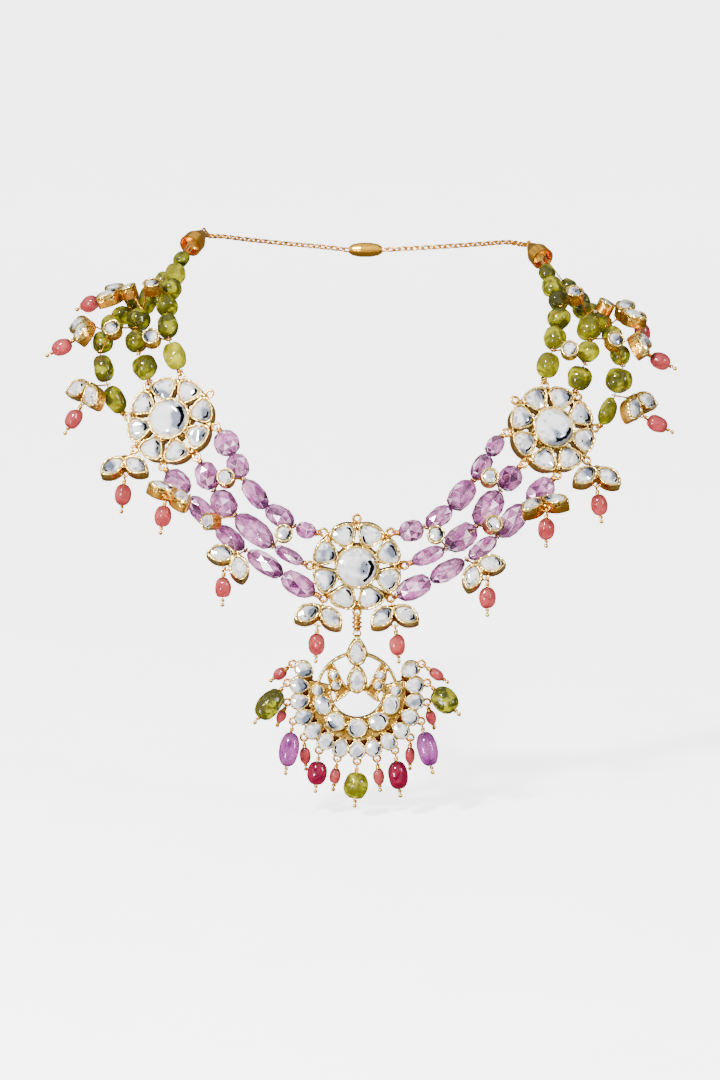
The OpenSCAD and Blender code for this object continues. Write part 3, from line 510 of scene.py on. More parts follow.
for side in ("left", "centre", "right"):
    stones = solids_of(f"medallion_{side}_stones")
    seats = [seat_of(s) for s in stones]
    crown, fans, edges = [], [], []
    for k, seat in enumerate(seats):
        flat = seat[0]
        if len(flat) > 20 or np.abs(flat).max() > crown_reach:
            crown.append(stones[k])
            edges.append(foil_edge(seat, count=72, gap=0.0012, radius=0.00042, seed=k))
        else:
            fans.append(stones[k])
            edges.append(foil_edge(seat, count=48, gap=0.0008, radius=0.00042, seed=k))
    middle, right, up = (np.array(v, float) for v in RIMS[side])
    up = unit(up)
    right = unit(right - (right @ up) * up)
    ahead = np.cross(up, right)
    for k in range(8):
        t = math.radians(45 * k)
        spoke = math.cos(t) * right + math.sin(t) * ahead
        rim_loops.append((middle - rim_drop * up + rim_spoke * spoke) / 1000)
        ring = loop_of(rim_loops[-1], right, ahead, radius=0.00124)
        edges.append(bead_edge(ring, radius=0.00056, uneven=0.2, seed=k, sides=7))
    foil_piece(
        f"medallion_{side}_foil", f"medallion_{side}", edges, seats,
        voxel=0.00027, lump=0.0002, hollow_shade=0.8, within=0.0142,
    )
    for kind, group, cut in (("crown", crown, CROWN_CUT), ("fans", fans, FAN_CUT)):
        stone_piece(
            f"medallion_{side}_{kind}_stones", f"medallion_{side}_stones", group,
            seed=7 * len(side), **cut,
        )


# Round collets. Small gold drums between two strings, each with a round cut stone in a
# rubbed-over foil edge, on wire arms that the threads pass through.
collet_rows = [(1.0, 0.0), (1.0, 0.45), (0.86, 0.75), (0.5, 0.95)]
for side in ("left", "right"):
    stones = solids_of(f"collet_stones_{side}")
    seats = [seat_of(s) for s in stones]
    edges = [
        foil_edge(seat, count=30, gap=0.0006, radius=0.0004, seed=k)
        for k, seat in enumerate(seats)
    ]
    foil_piece(
        f"collet_{side}_foil", f"collets_{side}", edges, seats, voxel=0.00022, lump=0.00014,
    )
    stone_piece(
        f"collet_{side}_cut_stones", f"collet_stones_{side}", stones,
        rise=0.0019, count=9, rows=collet_rows, seed=40 + len(side), grow=0.0003,
    )


# Leaf pairs. Two pointed settings soldered at their tips, each with a pointed oval stone in a
# foil edge. A gold neck holds the pair to a thread or a rim loop.
leaf_rows = [(1.0, 0.0), (1.0, 0.5), (0.8, 0.82), (0.45, 0.98)]
for side in ("left", "right"):
    stones = solids_of(f"leaf_stones_{side}")
    seats = [seat_of(s) for s in stones]
    for k in range(1, 8):
        low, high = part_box(f"leaf_{side}_{k}")
        low, high = np.array(low) - 0.001, np.array(high) + 0.001
        edges = [
            foil_edge(seat, count=44, gap=0.0008, radius=0.00042, seed=j)
            for j, seat in enumerate(seats)
            if (seat[1] >= low).all() and (seat[1] <= high).all()
        ]
        foil_piece(
            f"leaf_{side}_{k}_foil", f"leaf_{side}_{k}", edges, seats, voxel=0.00026, lump=0.0002,
        )
    stone_piece(
        f"leaf_{side}_cut_stones", f"leaf_stones_{side}", stones,
        rise=0.0022, count=16, rows=leaf_rows, seed=60 + len(side), grow=0.0004,
    )


# Pendant. A crescent soldered from separate cups: fifteen round the outside, seven along the
# inner edge, two pears and two small leaves. It swings as one piece on its top ring. Sizes are
# in millimetres from the middle of the crescent, and 0 is the front of the outer cups.
pendant_middle = np.array((-0.003, -0.07425, -0.1375))
cup_depth = 3.0
pear_cup = (4.8, 3.5, 0.35)
row_cup = (3.3, 2.85, -0.3)
row_step = 16.3
row_radius = 19.6
drop_loops_at = 23.8
loop_depth = -1.5
cup_wall = 0.24
round_cup_wall = 0.32
inner_row_height = 0.4
# Angle, distance from the middle and the half sizes of each stone of the inner row.
INNER_CUPS = [
    (176, 13.1, 1.6, 1.6), (199, 12.2, 2.45, 3.1), (233, 12.1, 2.65, 3.15), (270, 11.9, 2.9, 3.0),
    (307, 12.1, 2.65, 3.15), (341, 12.2, 2.45, 3.1), (4, 13.1, 1.6, 1.6),
]
SIDE_LEAF = [
    (-9.7, 8.2), (-7.9, 9.6), (-5.9, 5.6), (-4.4, 2.7), (-2.4, 0.8), (-4.4, -1.1), (-7.4, -3.2),
    (-6.7, -0.8), (-8.5, 1.5), (-9.7, 4.8),
]
# Inner and outer radius, first and last angle, points and the height of the front.
BANDS = [
    (8.6, 16.5, 165, 375, 60, 0.0),  # floor under the inner row
    (8.6, 9.3, 163, 377, 60, 0.3),  # rim on the inside of the crescent
    (15.5, 16.5, 168, 372, 60, -0.1),  # ridge between the rows
    (12.9, 13.9, 12, 168, 50, 0.0),  # bow over the top
    # The plate below is a sheet behind through-holes; its painted hollow shade makes the gaps show
    # painted shade and not the backdrop.
    (15.5, 18.6, 160, 380, 60, -2.6),  # plate behind the gaps of the outer row
]


def on_pendant(x, y, z):
    return pendant_middle + np.array((x, -z, y)) / 1000


def oval(a, b, count, point=0.0):
    """Round the middle, with one end drawn to a point: the outer one, or the inner if below 0."""
    line = []
    for t in np.linspace(0, 2 * math.pi, count, endpoint=False):
        pull = abs(point) * max(0, math.cos(t) * (1 if point > 0 else -1))
        line.append((a * math.cos(t), b * math.sin(t) * (1 - pull)))
    return np.array(line)


def turned_to(line, angle, x, y):
    c, s = math.cos(angle), math.sin(angle)
    return np.array([(x + c * u - s * v, y + s * u + c * v) for u, v in line])


def slab(line, low, high):
    """Flat piece of plate with a given outline."""
    n = len(line)
    points = [on_pendant(u, v, z) for z in (low, high) for u, v in line]
    faces = [(k, (k + 1) % n, n + (k + 1) % n, n + k) for k in range(n)]
    return points, faces + [tuple(range(n, 2 * n)), tuple(reversed(range(n)))]


def arc(inner, outer, start, stop, count):
    turns = np.radians(np.linspace(start, stop, count))
    out = [(outer * math.cos(t), outer * math.sin(t)) for t in turns]
    return out + [(inner * math.cos(t), inner * math.sin(t)) for t in reversed(turns)]


# Outline of each cup, the height of its front and the thickness of its wall.
cups = []
for k in range(15):
    turn = math.radians(270 + row_step * (k - 7))
    x, y = row_radius * math.cos(turn), row_radius * math.sin(turn)
    cups.append((turned_to(oval(*row_cup[:2], 36, row_cup[2]), turn, x, y), 0.0, cup_wall))
for angle, r, a, b in INNER_CUPS:
    turn = math.radians(angle)
    line = turned_to(oval(a + 0.4, b + 0.4, 36), turn, r * math.cos(turn), r * math.sin(turn))
    cups.append((line, inner_row_height, cup_wall))
for side in (-1, 1):
    for x, y, r in ((-7.8, 6.2, 1.75), (-7.1, 2.6, 1.75)):
        cups.append((turned_to(oval(r, r, 24), 0, side * x, y), 0.0, round_cup_wall))
pears = solids_of("pendant_pears")
pendant_rows = [(1.0, 0.0), (1.0, 0.35), (0.84, 0.7), (0.5, 0.96)]
plates = [slab(line, -cup_depth, top) for line, top, _ in cups]
plates += [slab(arc(*band), -cup_depth, top) for *band, top in BANDS]
plates.append(slab([(-0.6, 17.7), (0.6, 17.7), (0.6, 19.7), (-0.6, 19.7)], -cup_depth, 0.0))
for height in (4.5, 13.9):
    line = turned_to(oval(pear_cup[0], pear_cup[1], 40, pear_cup[2]), math.pi / 2, 0, height)
    plates.append(slab(line, -cup_depth, 0.0))
for side in (-1, 1):
    line = [(side * -x, y) for x, y in SIDE_LEAF]
    plates.append(slab(line[::side], -cup_depth, -0.7))
    edge = even_outline(np.array(line), 60)
    for depth, uneven in ((-0.5, 0.4), (-1.4, 0.2)):
        path = [on_pendant(u, v, depth) for u, v in edge]
        plates.append(bead_edge(path, radius=0.0004, uneven=uneven, seed=side))

across, upward = np.array((1.0, 0, 0)), np.array((0, 0, 1.0))
for k in range(15):
    turn = math.radians(270 + row_step * (k - 7))
    middle = on_pendant(drop_loops_at * math.cos(turn), drop_loops_at * math.sin(turn), loop_depth)
    loop = loop_of(middle, across, upward, radius=0.0012)
    plates.append(bead_edge(loop, radius=0.00046, uneven=0.1, seed=k, sides=7))
loop = loop_of(on_pendant(0, 20.2, loop_depth), across, upward, radius=0.0012)
plates.append(bead_edge(loop, radius=0.0004, uneven=0.1, seed=3, sides=7))
made, seats = [], []
for k, (line, top, wall) in enumerate(cups):
    middle = on_pendant(*line.mean(0), top)
    ring = (line - line.mean(0)) / 1000
    inside = grown(ring, -wall / 1000)
    seat = (inside, middle, across, upward, np.array((0.0, -1.0, 0.0)))
    seats.append(seat)
    small = abs(line - line.mean(0)).max() < 2
    made.append(domed_stone(
        seat, rise=0.0011 if small else 0.0015, count=9 if small else 12,
        rows=pendant_rows, seed=90 + k,
    ))
    path = [middle + u * across + v * upward + (0, -0.0002, 0) for u, v in grown(inside, 0.0001)]
    plates.append(bead_edge(path, radius=0.0003 if small else 0.00036, uneven=0.5, seed=k))
for k, solid in enumerate(pears):
    seats.append(seat_of(solid))
    plates.append(foil_edge(
        seats[-1], count=44, gap=0.0004, radius=0.00045, seed=80 + k, height=0.0013,
    ))
foil_piece(
    "pendant_foil", "pendant_frame", plates, seats,
    voxel=0.00025, lump=0.0002, hollow_shade=0.9, crease_shade_strength=0.65, carry=False,
)
stone_piece(
    "pendant_pear_stones", "pendant_pears", pears,
    rise=0.0022, count=16, rows=leaf_rows, seed=130, grow=0.0001,
)
row_stones = stones_mesh("pendant_row_stones", made)
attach(row_stones, "pendant")

# Seven rings stacked below each other, wide and narrow by turns, each tipped the other way.
bail_top = -0.1113
bail_step = 0.00075
bail_rings = []
for k in range(7):
    middle = np.array((-0.003, -0.07275, bail_top - bail_step * k))
    leaning = np.array((0, 1.0, 0.12 * (-1) ** k))
    ring = loop_of(middle, across, leaning, radius=0.00135 if k % 2 else 0.0007, count=18)
    bail_rings.append(bead_edge(ring, radius=0.00042, uneven=0.3, seed=k))
rings = mesh_piece("pendant_bail_rings", *joined(bail_rings), wire_gold)
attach(rings, "pendant")


# Tumbled beads. Pebbles of stone ground by hand and drilled lengthwise, so each has soft flats,
# a slightly different size and colour, and clouds and brown flaws inside.
def axis_of(solid):
    """Middle, way, length and width of a drilled bead. Its longest edges are its bore's."""
    points, faces = solid
    lines = np.array([(f[k - 1], f[k]) for f in faces for k in range(len(f))])
    spans = points[lines[:, 1]] - points[lines[:, 0]]
    long = np.linalg.norm(spans, axis=1)
    bore = long > 0.985 * long.max()
    spans = spans[bore] * np.sign(spans[bore] @ spans[np.argmax(long)])[:, None]
    way = unit(spans.sum(0))
    middle = points[np.unique(lines[bore])].mean(0)
    off = points - middle
    along = off @ way
    radial = np.linalg.norm(off - np.outer(along, way), axis=1)
    return middle, way, along.max() - along.min(), 2 * radial.max()


def pebble(solid, seed, flats, lump, rings=22, sides=30):
    """Points and faces of one tumbled bead inside its CAD solid."""
    bore = 0.00045
    middle, way, length, width = axis_of(solid)
    rng = random.Random(seed)
    side, other = square_to(way, (0.2, 0.9, 0.37))
    cuts = []
    for _ in range(flats):
        n = unit(np.array([rng.gauss(0, 1) for _ in range(3)]) * (1, 1, 0.7))
        reach = math.sqrt((n[0] ** 2 + n[1] ** 2) * (width / 2) ** 2 + (n[2] * length / 2) ** 2)
        cuts.append((n, reach * rng.uniform(0.84, 0.95)))
    squash = rng.uniform(0.9, 1.0)
    turn = rng.uniform(0, math.pi)
    shift = Vector((seed * 3.1, seed * 1.7, 0))
    soft = 0.05 * width
    points = []
    mouth = math.asin(min(0.9, 2.4 * bore / width))
    for r in range(rings + 1):
        a = mouth + (math.pi - 2 * mouth) * r / rings
        for k in range(sides):
            t = 2 * math.pi * k / sides
            out = width / 2 * math.sin(a) ** 0.72
            p = np.array((out * math.cos(t), out * math.sin(t), -length / 2 * math.cos(a)))
            p[0] *= 1 - (1 - squash) * math.cos(turn) ** 2
            p[1] *= 1 - (1 - squash) * math.sin(turn) ** 2
            for n, reach in cuts:
                over = p @ n - reach
                if over > soft:
                    p = p - n * over
                elif over > -soft:
                    p = p - n * (over + soft) ** 2 / (4 * soft)
            p = p * (1 - lump * (0.5 + 0.5 * noise.noise(Vector(p) * 380 + shift)))
            points.append(middle + p[0] * side + p[1] * other + p[2] * way)
    for end in (0, 1):
        rim = points[end * rings * sides:(end * rings + 1) * sides]
        for k in range(sides):
            t = 2 * math.pi * k / sides
            spot = bore * (math.cos(t) * side + math.sin(t) * other)
            points.append(middle + (rim[k] - middle) @ way * way + spot)
    faces = []
    for r in range(rings):
        for k in range(sides):
            a, b = r * sides + k, r * sides + (k + 1) % sides
            faces.append((a, b, b + sides, a + sides))
    inner = [(rings + 1) * sides, (rings + 2) * sides]
    for k in range(sides):
        n = (k + 1) % sides
        faces.append((n, k, inner[0] + k, inner[0] + n))
        faces.append((rings * sides + k, rings * sides + n, inner[1] + n, inner[1] + k))
        faces.append((inner[0] + n, inner[0] + k, inner[1] + k, inner[1] + n))
    return points, faces


def bead_piece(name, node, material, make, seed, tones, faceted=False):
    """One mesh of all the beads of a node, with what each bead's colour depends on."""
    parts, tone, along = [], [], []
    for k, solid in enumerate(solids_of(node)):
        points, faces = make(solid, seed + k)
        parts.append((points, faces))
        tone += [tones[k % len(tones)]] * len(points)
        middle, way, length, _ = axis_of(solid)
        along += [2 * abs((p - middle) @ way) / length for p in points]
    piece = mesh_piece(name, *joined(parts), material, smooth=not faceted)
    rng = random.Random(seed)
    # Faceted beads get one random number per facet for their painted reflections; smooth beads get
    # one even value.
    each = [rng.random() if faceted else 0.6 for _ in piece.data.polygons]
    paint(piece.data, "tone", "POINT", tone)
    paint(piece.data, "along", "POINT", along)
    paint(piece.data, "facet_reflection", "FACE", each)
    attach(piece, "pendant" if node.startswith("pendant") else "collar")
    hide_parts(node)


def green_material(name, scale, dents):
    m = Nodes(name)
    cloud = m.noise(scale, 4, 0.6, 0.6)
    body = m.ramp(cloud, [(0.42, rgb("0c0e00")), (0.5, rgb("363802")), (0.6, rgb("8e8c0e"))])
    pale = m.mix(m.maths("POWER", m.attribute("tone"), 1.8), body, rgb("8c8812"))
    deep = m.mix(m.maths("SUBTRACT", 0.7, m.attribute("tone"), clamp=True), pale, rgb("141800"))
    flaws = m.ramp(m.noise(520, 5, 0.65, 1.2), [(0.58, grey(0)), (0.72, grey(1))])
    brown = m.mix(m.maths("MULTIPLY", flaws, 0.85), deep, rgb("5e3002"))
    m.link(brown, m.shader, "Base Color")
    m.set(Roughness=0.05, IOR=1.5, Specular_IOR_Level=0.4, Transmission_Weight=0.1)
    m.bump(m.noise(2.2 * scale, 3), dents, 0.0004)
    return m.mat


green = green_material("green_stone", scale=210, dents=0.1)
# From 0 for a dark bead to 1 for a pale one, in the order of the beads along x.
GREEN_TONES = {
    "left_inner": [0.35, 0.3, 0.35, 0.6, 0.7, 0.1],
    "left_middle": [0.3, 0.25, 0.35, 0.45, 0.5],
    "left_outer": [0.2, 0.3, 0.25, 0.35, 0.3, 0.35, 0.4, 0.25],
    "right_inner": [0.5, 0.3, 0.35, 0.45, 0.3, 0.25],
    "right_middle": [0.25, 0.35, 0.3, 0.5, 0.45],
    "right_outer": [0.3, 0.2, 0.35, 0.3, 0.4, 0.35, 0.3, 0.35],
}
for number, (string, tones) in enumerate(GREEN_TONES.items()):
    bead_piece(
        f"green_{string}_beads", f"green_{string}", green,
        lambda solid, seed: pebble(solid, seed, flats=6, lump=0.09),
        seed=100 * number, tones=tones,
    )


# Faceted beads. Pale violet quartz cut by hand in rows of flat facets, deeper in colour along the
# bore, which shows through the stone. The drilled ends are painted darker as painted shade, and
# each facet is painted lighter or darker, a few near white, as painted reflections and highlights.
def cut_pebble(solid, seed):
    """Points and faces of one faceted bead inside its CAD solid."""
    sides = 8
    rows = [(0.0, 0.36), (0.13, 0.8), (0.36, 1.0), (0.64, 1.0), (0.87, 0.8), (1.0, 0.36)]
    middle, way, length, width = axis_of(solid)
    rng = random.Random(seed)
    side, other = square_to(way, (0.2, 0.9, 0.37))
    corners = []
    for r, (row, out) in enumerate(rows):
        for k in range(sides):
            t = 2 * math.pi * (k + 0.5 * (r % 2) + rng.uniform(-0.12, 0.12)) / sides
            radius = max(width / 2 * out * rng.uniform(0.93, 1.0), 0.0008)
            z = length * (row - 0.5) * (1 if r in (0, 5) else rng.uniform(0.93, 1.05))
            corners.append(middle + radius * (math.cos(t) * side + math.sin(t) * other) + z * way)
    form = bmesh.new()
    for c in corners:
        form.verts.new(c)
    bmesh.ops.convex_hull(form, input=form.verts)
    bmesh.ops.dissolve_limit(form, angle_limit=math.radians(3), verts=form.verts, edges=form.edges)
    bmesh.ops.bevel(
        form, geom=form.edges[:], offset=0.00009, segments=1, affect="EDGES", clamp_overlap=True,
    )
    form.verts.index_update()
    points = [np.array(v.co) for v in form.verts]
    faces = [tuple(v.index for v in f.verts) for f in form.faces]
    form.free()
    return points, faces


def violet_material(name, pale, body, deep, clear):
    m = Nodes(name)
    veil = m.noise(240, 4, 0.6, 0.8)
    tint = m.ramp(veil, [(0.35, rgb(body)), (0.65, rgb(pale))])
    toned = m.mix(m.maths("MULTIPLY", m.attribute("tone"), 0.7), tint, rgb(deep))
    # The drilled ends are mixed towards the deep colour: painted shade.
    ends = m.maths("POWER", m.attribute("along"), 4.0, clamp=True)
    end_shaded = m.mix(m.maths("MULTIPLY", ends, 0.75), toned, rgb(deep))
    # Each facet is made darker or lighter by its own number, the brightest near white: painted
    # reflections and painted highlights.
    facet_reflection = m.attribute("facet_reflection")
    shone = m.ramp(facet_reflection, [(0.0, rgb("402844")), (0.45, rgb("c8bcc8")), (0.8, rgb("ffffff"))])
    cut = m.mix(1.0, end_shaded, shone, "MULTIPLY")
    glint = m.ramp(facet_reflection, [(0.9, grey(0)), (0.92, grey(0.6))])
    m.link(m.mix(glint, cut, rgb("f6ecf6")), m.shader, "Base Color")
    m.set(Roughness=0.03, IOR=1.5, Specular_IOR_Level=0.5, Transmission_Weight=clear)
    m.bump(m.noise(300, 2), 0.06, 0.0003)
    return m.mat


violet = violet_material("violet_stone", "dca4c4", "a44490", "4c0c48", clear=0.6)
for number, string in enumerate((
    "left_inner", "left_middle", "left_outer", "right_inner", "right_middle", "right_outer",
)):
    bead_piece(
        f"violet_{string}_beads", f"violet_{string}", violet,
        cut_pebble, seed=1000 + 50 * number, tones=[0.1, 0.35, 0.2, 0.5, 0.15], faceted=True,
    )


# Drops. Small polished beads of pink, ruby, violet and green stone on gold pins, whose ends are
# melted into balls.
pink = violet_material("pink_stone", "b44c4a", "80262a", "40060a", clear=0.15)
ruby = violet_material("ruby_stone", "8c0030", "5c0020", "22000a", clear=0.2)
drop_green = green_material("green_drop_stone", scale=330, dents=0.6)
drop_violet = violet_material("violet_drop_stone", "b860a8", "6c1a68", "260430", clear=0.5)
drop_mesh = {"lump": 0.06, "rings": 18, "sides": 26}
for side in ("left", "right"):
    bead_piece(
        f"leaf_{side}_drops", f"leaf_beads_{side}", pink,
        lambda solid, seed: pebble(solid, seed, flats=4, **drop_mesh),
        seed=300 + len(side), tones=[0.1, 0.3, 0.2, 0.4, 0.15, 0.35, 0.25],
    )
for colour, material, flats in (
    ("pink", pink, 3), ("ruby", ruby, 4), ("violet", drop_violet, 4), ("green", drop_green, 5),
):
    bead_piece(
        f"pendant_{colour}_drops", f"pendant_{colour}_beads", material,
        lambda solid, seed: pebble(solid, seed, flats=flats, **drop_mesh),
        seed=400 + flats, tones=[0.3, 0.45, 0.25, 0.2],
    )


# Wire wraps. Fine gold wire is coiled round each pin above its bead, and round each thread
# between its last bead and the ring that it is tied to.
def coil(start, stop, radius, wire, pitch):
    """A wire wound in turns from one point to another."""
    sides = 6
    steps = 10
    length = np.linalg.norm(stop - start)
    way = (stop - start) / length
    side, other = square_to(way, (0.31, 0.2, 0.93))
    count = max(2, int(length / pitch * steps))
    points, faces = [], []
    for i in range(count + 1):
        t = 2 * math.pi * i / steps
        out = math.cos(t) * side + math.sin(t) * other
        middle = start + way * length * i / count + radius * out
        for k in range(sides):
            u = 2 * math.pi * k / sides
            points.append(middle + wire * (math.cos(u) * out + math.sin(u) * way))
    for i in range(count):
        for k in range(sides):
            a, b = i * sides + k, i * sides + (k + 1) % sides
            faces.append((a, b, b + sides, a + sides))
    faces.append(tuple(range(sides)))
    faces.append(tuple(reversed(range(count * sides, (count + 1) * sides))))
    return points, faces


def pin_wraps(nodes, towards):
    """Coils at both ends of the beads of these nodes, the longer one on the side of a point."""
    wire = {"wire": 0.00023, "pitch": 0.00046}
    parts = []
    for node in nodes:
        for solid in solids_of(node):
            middle, way, length, _ = axis_of(solid)
            near = min(towards, key=lambda p: np.linalg.norm(p - middle))
            way = way * (1 if (near - middle) @ way > 0 else -1)
            top = middle + way * length / 2
            parts.append(coil(top, top + 0.0013 * way, radius=0.00055, **wire))
            foot = middle - way * length / 2
            parts.append(coil(foot, foot - 0.0009 * way, radius=0.0005, **wire))
    return parts


def string_wraps(side):
    """Coils on the threads of one side, from the last bead to the rim loop that is near it."""
    nearest, farthest = 0.0018, 0.0075
    parts = []
    for colour in ("green", "violet"):
        for row in ("inner", "middle", "outer"):
            for solid in solids_of(f"{colour}_{side}_{row}"):
                middle, way, length, _ = axis_of(solid)
                for end in (middle + way * length / 2, middle - way * length / 2):
                    near = min(rim_loops, key=lambda p: np.linalg.norm(p - end))
                    away = np.linalg.norm(near - end)
                    if nearest < away < farthest:
                        stop = near + (end - near) * 0.0014 / away
                        parts.append(coil(end, stop, radius=0.0008, wire=0.00034, pitch=0.0007))
    return parts


pendant_beads = [f"pendant_{colour}_beads" for colour in ("pink", "ruby", "violet", "green")]
wraps = mesh_piece(
    "pendant_wraps", *joined(pin_wraps(pendant_beads, [pendant_middle])), wire_gold,
)
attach(wraps, "pendant")
for side in ("left", "right"):
    leaf_seats = [seat_of(s)[1] for s in solids_of(f"leaf_stones_{side}")]
    leaf_wraps = pin_wraps([f"leaf_beads_{side}"], leaf_seats)
    for name, parts in (("leaf", leaf_wraps), ("string", string_wraps(side))):
        wraps = mesh_piece(f"{name}_{side}_wraps", *joined(parts), wire_gold)
        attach(wraps, "collar")


# Wire work. Eye pins, the ring-stack bail, the end caps and the clasp are drawn gold wire and
# turned gold, without the dents of the foil. They keep their CAD shape.
def recoat(node, material):
    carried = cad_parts[node]
    carried.data.materials.clear()
    carried.data.materials.append(material)


for node in (
    "leaf_pins_left", "leaf_pins_right", "pendant_pins", "pendant_bail",
    "end_cap_left", "end_cap_right", "clasp",
):
    recoat(node, wire_gold)


# Threads. Twisted beading silk, plum through the violet beads and bronze through the green. It
# runs through the bores and is tied to the rim loops and the end caps. It keeps its CAD shape.
def thread_material(name, colour, dark):
    m = Nodes(name)
    twist = m.noise(2600, 2)
    m.link(m.ramp(twist, [(0.4, rgb(dark)), (0.6, rgb(colour))]), m.shader, "Base Color")
    m.set(Roughness=0.7, Specular_IOR_Level=0.2)
    m.bump(twist, 0.5, 0.0002)
    return m.mat


for colour, light, dark in (("green", "8a6a34", "4c3614"), ("violet", "8a3a78", "4a1440")):
    for side in ("left", "right"):
        silk = thread_material(f"{colour}_{side}_thread", light, dark)
        recoat(f"threads_{colour}_{side}", silk)


# Back chain. Oval links of round gold wire, each turned a quarter to the next, from the ring of
# an end cap to the clasp. Links are sized in metres. The first link's distance from the ring,
# the routes and the caps are in millimetres.
link_wire = 0.00032
link_half = 0.00138
link_side = 0.00078
link_pitch = 0.00215
first_link = 1.85
cap_length = 9
cap_ring = 1.2
cap_ring_sunk = 0.1
ROUTES = {
    "left": [(-55, 22, 6.5), (-50, 33, 5), (-41, 45, 2.5), (-28, 55, 0), (-14, 61, -2)],
    "right": [(55, 22, 3.5), (50, 33, 3), (41, 45, 1), (28, 55, -1), (14, 61, -2.5)],
}
CLASP_ENDS = {"left": (-6.8, 62, -3), "right": (6.8, 62, -3)}
# Middle of the cap's mouth and the way that the cap points.
CAPS = {
    "left": ((-61, -1, 5.5), (0.45, 0.8, 0.4)),
    "right": ((61.5, -1, 1), (-0.45, 0.8, 0.4)),
}


def curve_through(route, steps=12):
    """Points of a smooth curve through the points of a route."""
    route = [2 * route[0] - route[1], *route, 2 * route[-1] - route[-2]]
    line = []
    for a, b, c, d in zip(route, route[1:], route[2:], route[3:]):
        for t in np.arange(steps) / steps:
            line.append(0.5 * (2 * b + (c - a) * t + (2 * a - 5 * b + 4 * c - d) * t * t
                               + (3 * b - a - 3 * c + d) * t ** 3))
    return line + [route[-2]]


def link(middle, along, side):
    """One oval link as a closed ring of wire."""
    path = []
    for t in np.linspace(0, 2 * math.pi, 16, endpoint=False):
        u, v = math.cos(t), math.sin(t)
        straight = (link_half - link_side) * (1 if u > 0.01 else -1 if u < -0.01 else 0)
        path.append(middle + along * (straight + link_side * u) + side * link_side * v)
    return bead_edge(path, radius=link_wire, uneven=0.04, seed=0, sides=6)


for side in ("left", "right"):
    cap, lean = (np.array(v, float) for v in CAPS[side])
    ring_at = cap + unit(lean) * (cap_length + cap_ring - cap_ring_sunk)
    first = np.array(ROUTES[side][0], float)
    start = ring_at + unit(first - ring_at) * first_link
    stop = np.array(CLASP_ENDS[side], float)
    route = [start, *(np.array(q, float) for q in ROUTES[side]), stop]
    line = np.array(curve_through(route)) / 1000
    steps = np.linalg.norm(np.diff(line, axis=0), axis=1)
    run = np.concatenate([[0], np.cumsum(steps)])
    links = round(run[-1] / link_pitch)
    links += 1 - links % 2
    parts = []
    for k in range(links):
        at = run[-1] * k / (links - 1)
        middle, ahead, behind = (
            np.array([np.interp(spot, run, line[:, i]) for i in range(3)])
            for spot in (at, min(at + 0.001, run[-1]), max(at - 0.001, 0))
        )
        along = unit(ahead - behind)
        flat = unit(np.cross(along, (0, 0, 1)))
        turn = math.radians(45 + 90 * (k % 2))
        sideways = math.cos(turn) * flat + math.sin(turn) * np.cross(along, flat)
        parts.append(link(middle, along, sideways))
    chain = mesh_piece(f"back_chain_{side}_links", *joined(parts), wire_gold)
    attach(chain, "collar")
    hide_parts(f"back_chain_{side}")


# Studio. A pale floor that sweeps up into a backdrop, soft light all round, and the camera at
# the photograph's height, looking down by ten degrees. The gold and the stones mirror the dark
# and bright bands of the room, and not the sweep.
def stage_material():
    m = Nodes("sweep_paper")
    paper = m.ramp(m.noise(30, 2), [(0.4, rgb("ededec")), (0.6, rgb("f1f1f0"))])
    m.link(paper, m.shader, "Base Color")
    m.set(Roughness=0.85, Emission_Color=rgb("f2f2f1"), Emission_Strength=2.8)
    m.bump(m.noise(900, 2), 0.05, 0.0002)
    return m.mat


floor_at = cad_box[0][2] - 0.004
wall_at = 2.4
wall_top = 3.0
floor_half = 4.0
bend = 0.6
profile = [(-floor_half, floor_at), (wall_at - bend, floor_at)]
profile += [
    (wall_at - bend + bend * math.sin(t), floor_at + bend - bend * math.cos(t))
    for t in np.linspace(0.1, math.pi / 2, 12)
]
profile.append((wall_at, wall_top))
sweep = mesh_piece(
    "sweep", [(x, y, z) for y, z in profile for x in (-floor_half, floor_half)],
    [(2 * k, 2 * k + 1, 2 * k + 3, 2 * k + 2) for k in range(len(profile) - 1)],
    stage_material(),
)
sweep.visible_glossy = False

world = bpy.data.worlds.new("soft_studio")
bpy.context.scene.world = world
world.use_nodes = True
sky = world.node_tree
where = sky.nodes.new("ShaderNodeTexCoord").outputs["Generated"]
glow = sky.nodes.new("ShaderNodeVectorMath")
glow.operation = "MULTIPLY"


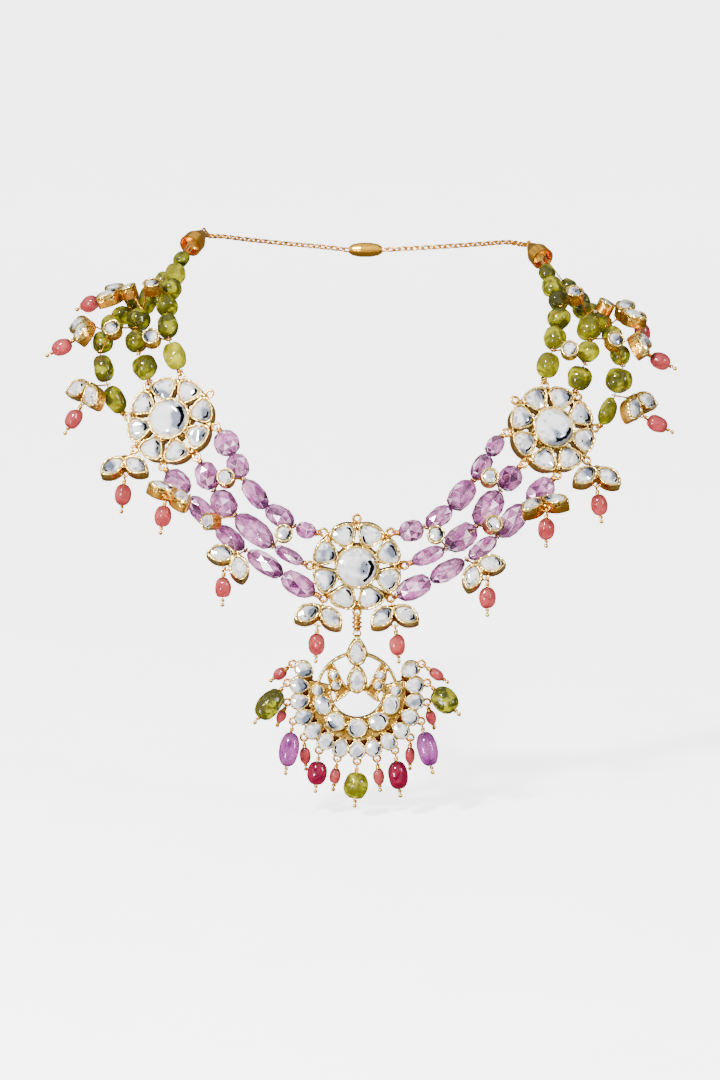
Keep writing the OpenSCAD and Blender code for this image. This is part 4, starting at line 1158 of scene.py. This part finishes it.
def bands(way, stops, socket):
    """Rings of light and dark in the room round a way, from 0 behind it to 1 ahead."""
    toward = sky.nodes.new("ShaderNodeVectorMath")
    toward.operation = "DOT_PRODUCT"
    toward.inputs[1].default_value = way
    sky.links.new(where, toward.inputs[0])
    half = sky.nodes.new("ShaderNodeMath")
    half.operation = "MULTIPLY_ADD"
    half.inputs[1].default_value = 0.5
    half.inputs[2].default_value = 0.5
    sky.links.new(toward.outputs["Value"], half.inputs[0])
    room = sky.nodes.new("ShaderNodeValToRGB")
    while len(room.color_ramp.elements) < len(stops):
        room.color_ramp.elements.new(0.5)
    for e, (at, colour) in zip(room.color_ramp.elements, stops):
        e.position = at
        e.color = rgb(colour)
    sky.links.new(half.outputs["Value"], room.inputs[0])
    sky.links.new(room.outputs["Color"], socket)


bands((-0.3, -0.6, 0.74), [
    (0.56, "66625c"), (0.6, "c8c8ca"), (0.715, "c8c8ca"), (0.725, "1c1c20"), (0.785, "1c1c20"),
    (0.795, "ffffff"), (0.915, "ffffff"), (0.925, "1c1c20"), (0.955, "1c1c20"), (0.965, "ffffff"),
], glow.inputs[0])
bands((0.0, -0.985, 0.174), [(0.9955, "ffffff"), (0.9975, "101012")], glow.inputs[1])
sky.links.new(glow.outputs["Vector"], sky.nodes["Background"].inputs["Color"])
sky.nodes["Background"].inputs["Strength"].default_value = 1.7


def soft_light(name, at, aim, size, power):
    lamp = bpy.data.lights.new(name, "AREA")
    lamp.shape = "RECTANGLE"
    lamp.size, lamp.size_y = size
    lamp.energy = power
    holder = bpy.data.objects.new(name, lamp)
    holder.location = at
    holder.rotation_euler = (Vector(aim) - Vector(at)).to_track_quat("-Z", "Y").to_euler()
    bpy.context.scene.collection.objects.link(holder)


necklace = (0, -0.04, -0.08)
soft_light("key", (-0.55, -0.9, 0.75), necklace, size=(0.18, 0.18), power=50)
soft_light("low", (-0.6, -0.9, -0.15), necklace, size=(0.14, 0.2), power=9)
soft_light("side", (1.0, -0.7, 0.3), necklace, size=(0.2, 0.4), power=9)

lens = bpy.data.cameras.new("camera")
lens.sensor_fit = "VERTICAL"
lens.sensor_height = 36
distance = 1.6
seen_height = 0.3618
lens.lens = lens.sensor_height * distance / seen_height
lens.clip_end = 20
camera = bpy.data.objects.new("camera", lens)
aim = Vector((-0.002, -0.075, -0.085))
tilt = math.radians(10)
camera.location = aim + distance * Vector((0, -math.cos(tilt), math.sin(tilt)))
camera.rotation_euler = (aim - camera.location).to_track_quat("-Z", "Y").to_euler()
bpy.context.scene.collection.objects.link(camera)
bpy.context.scene.camera = camera
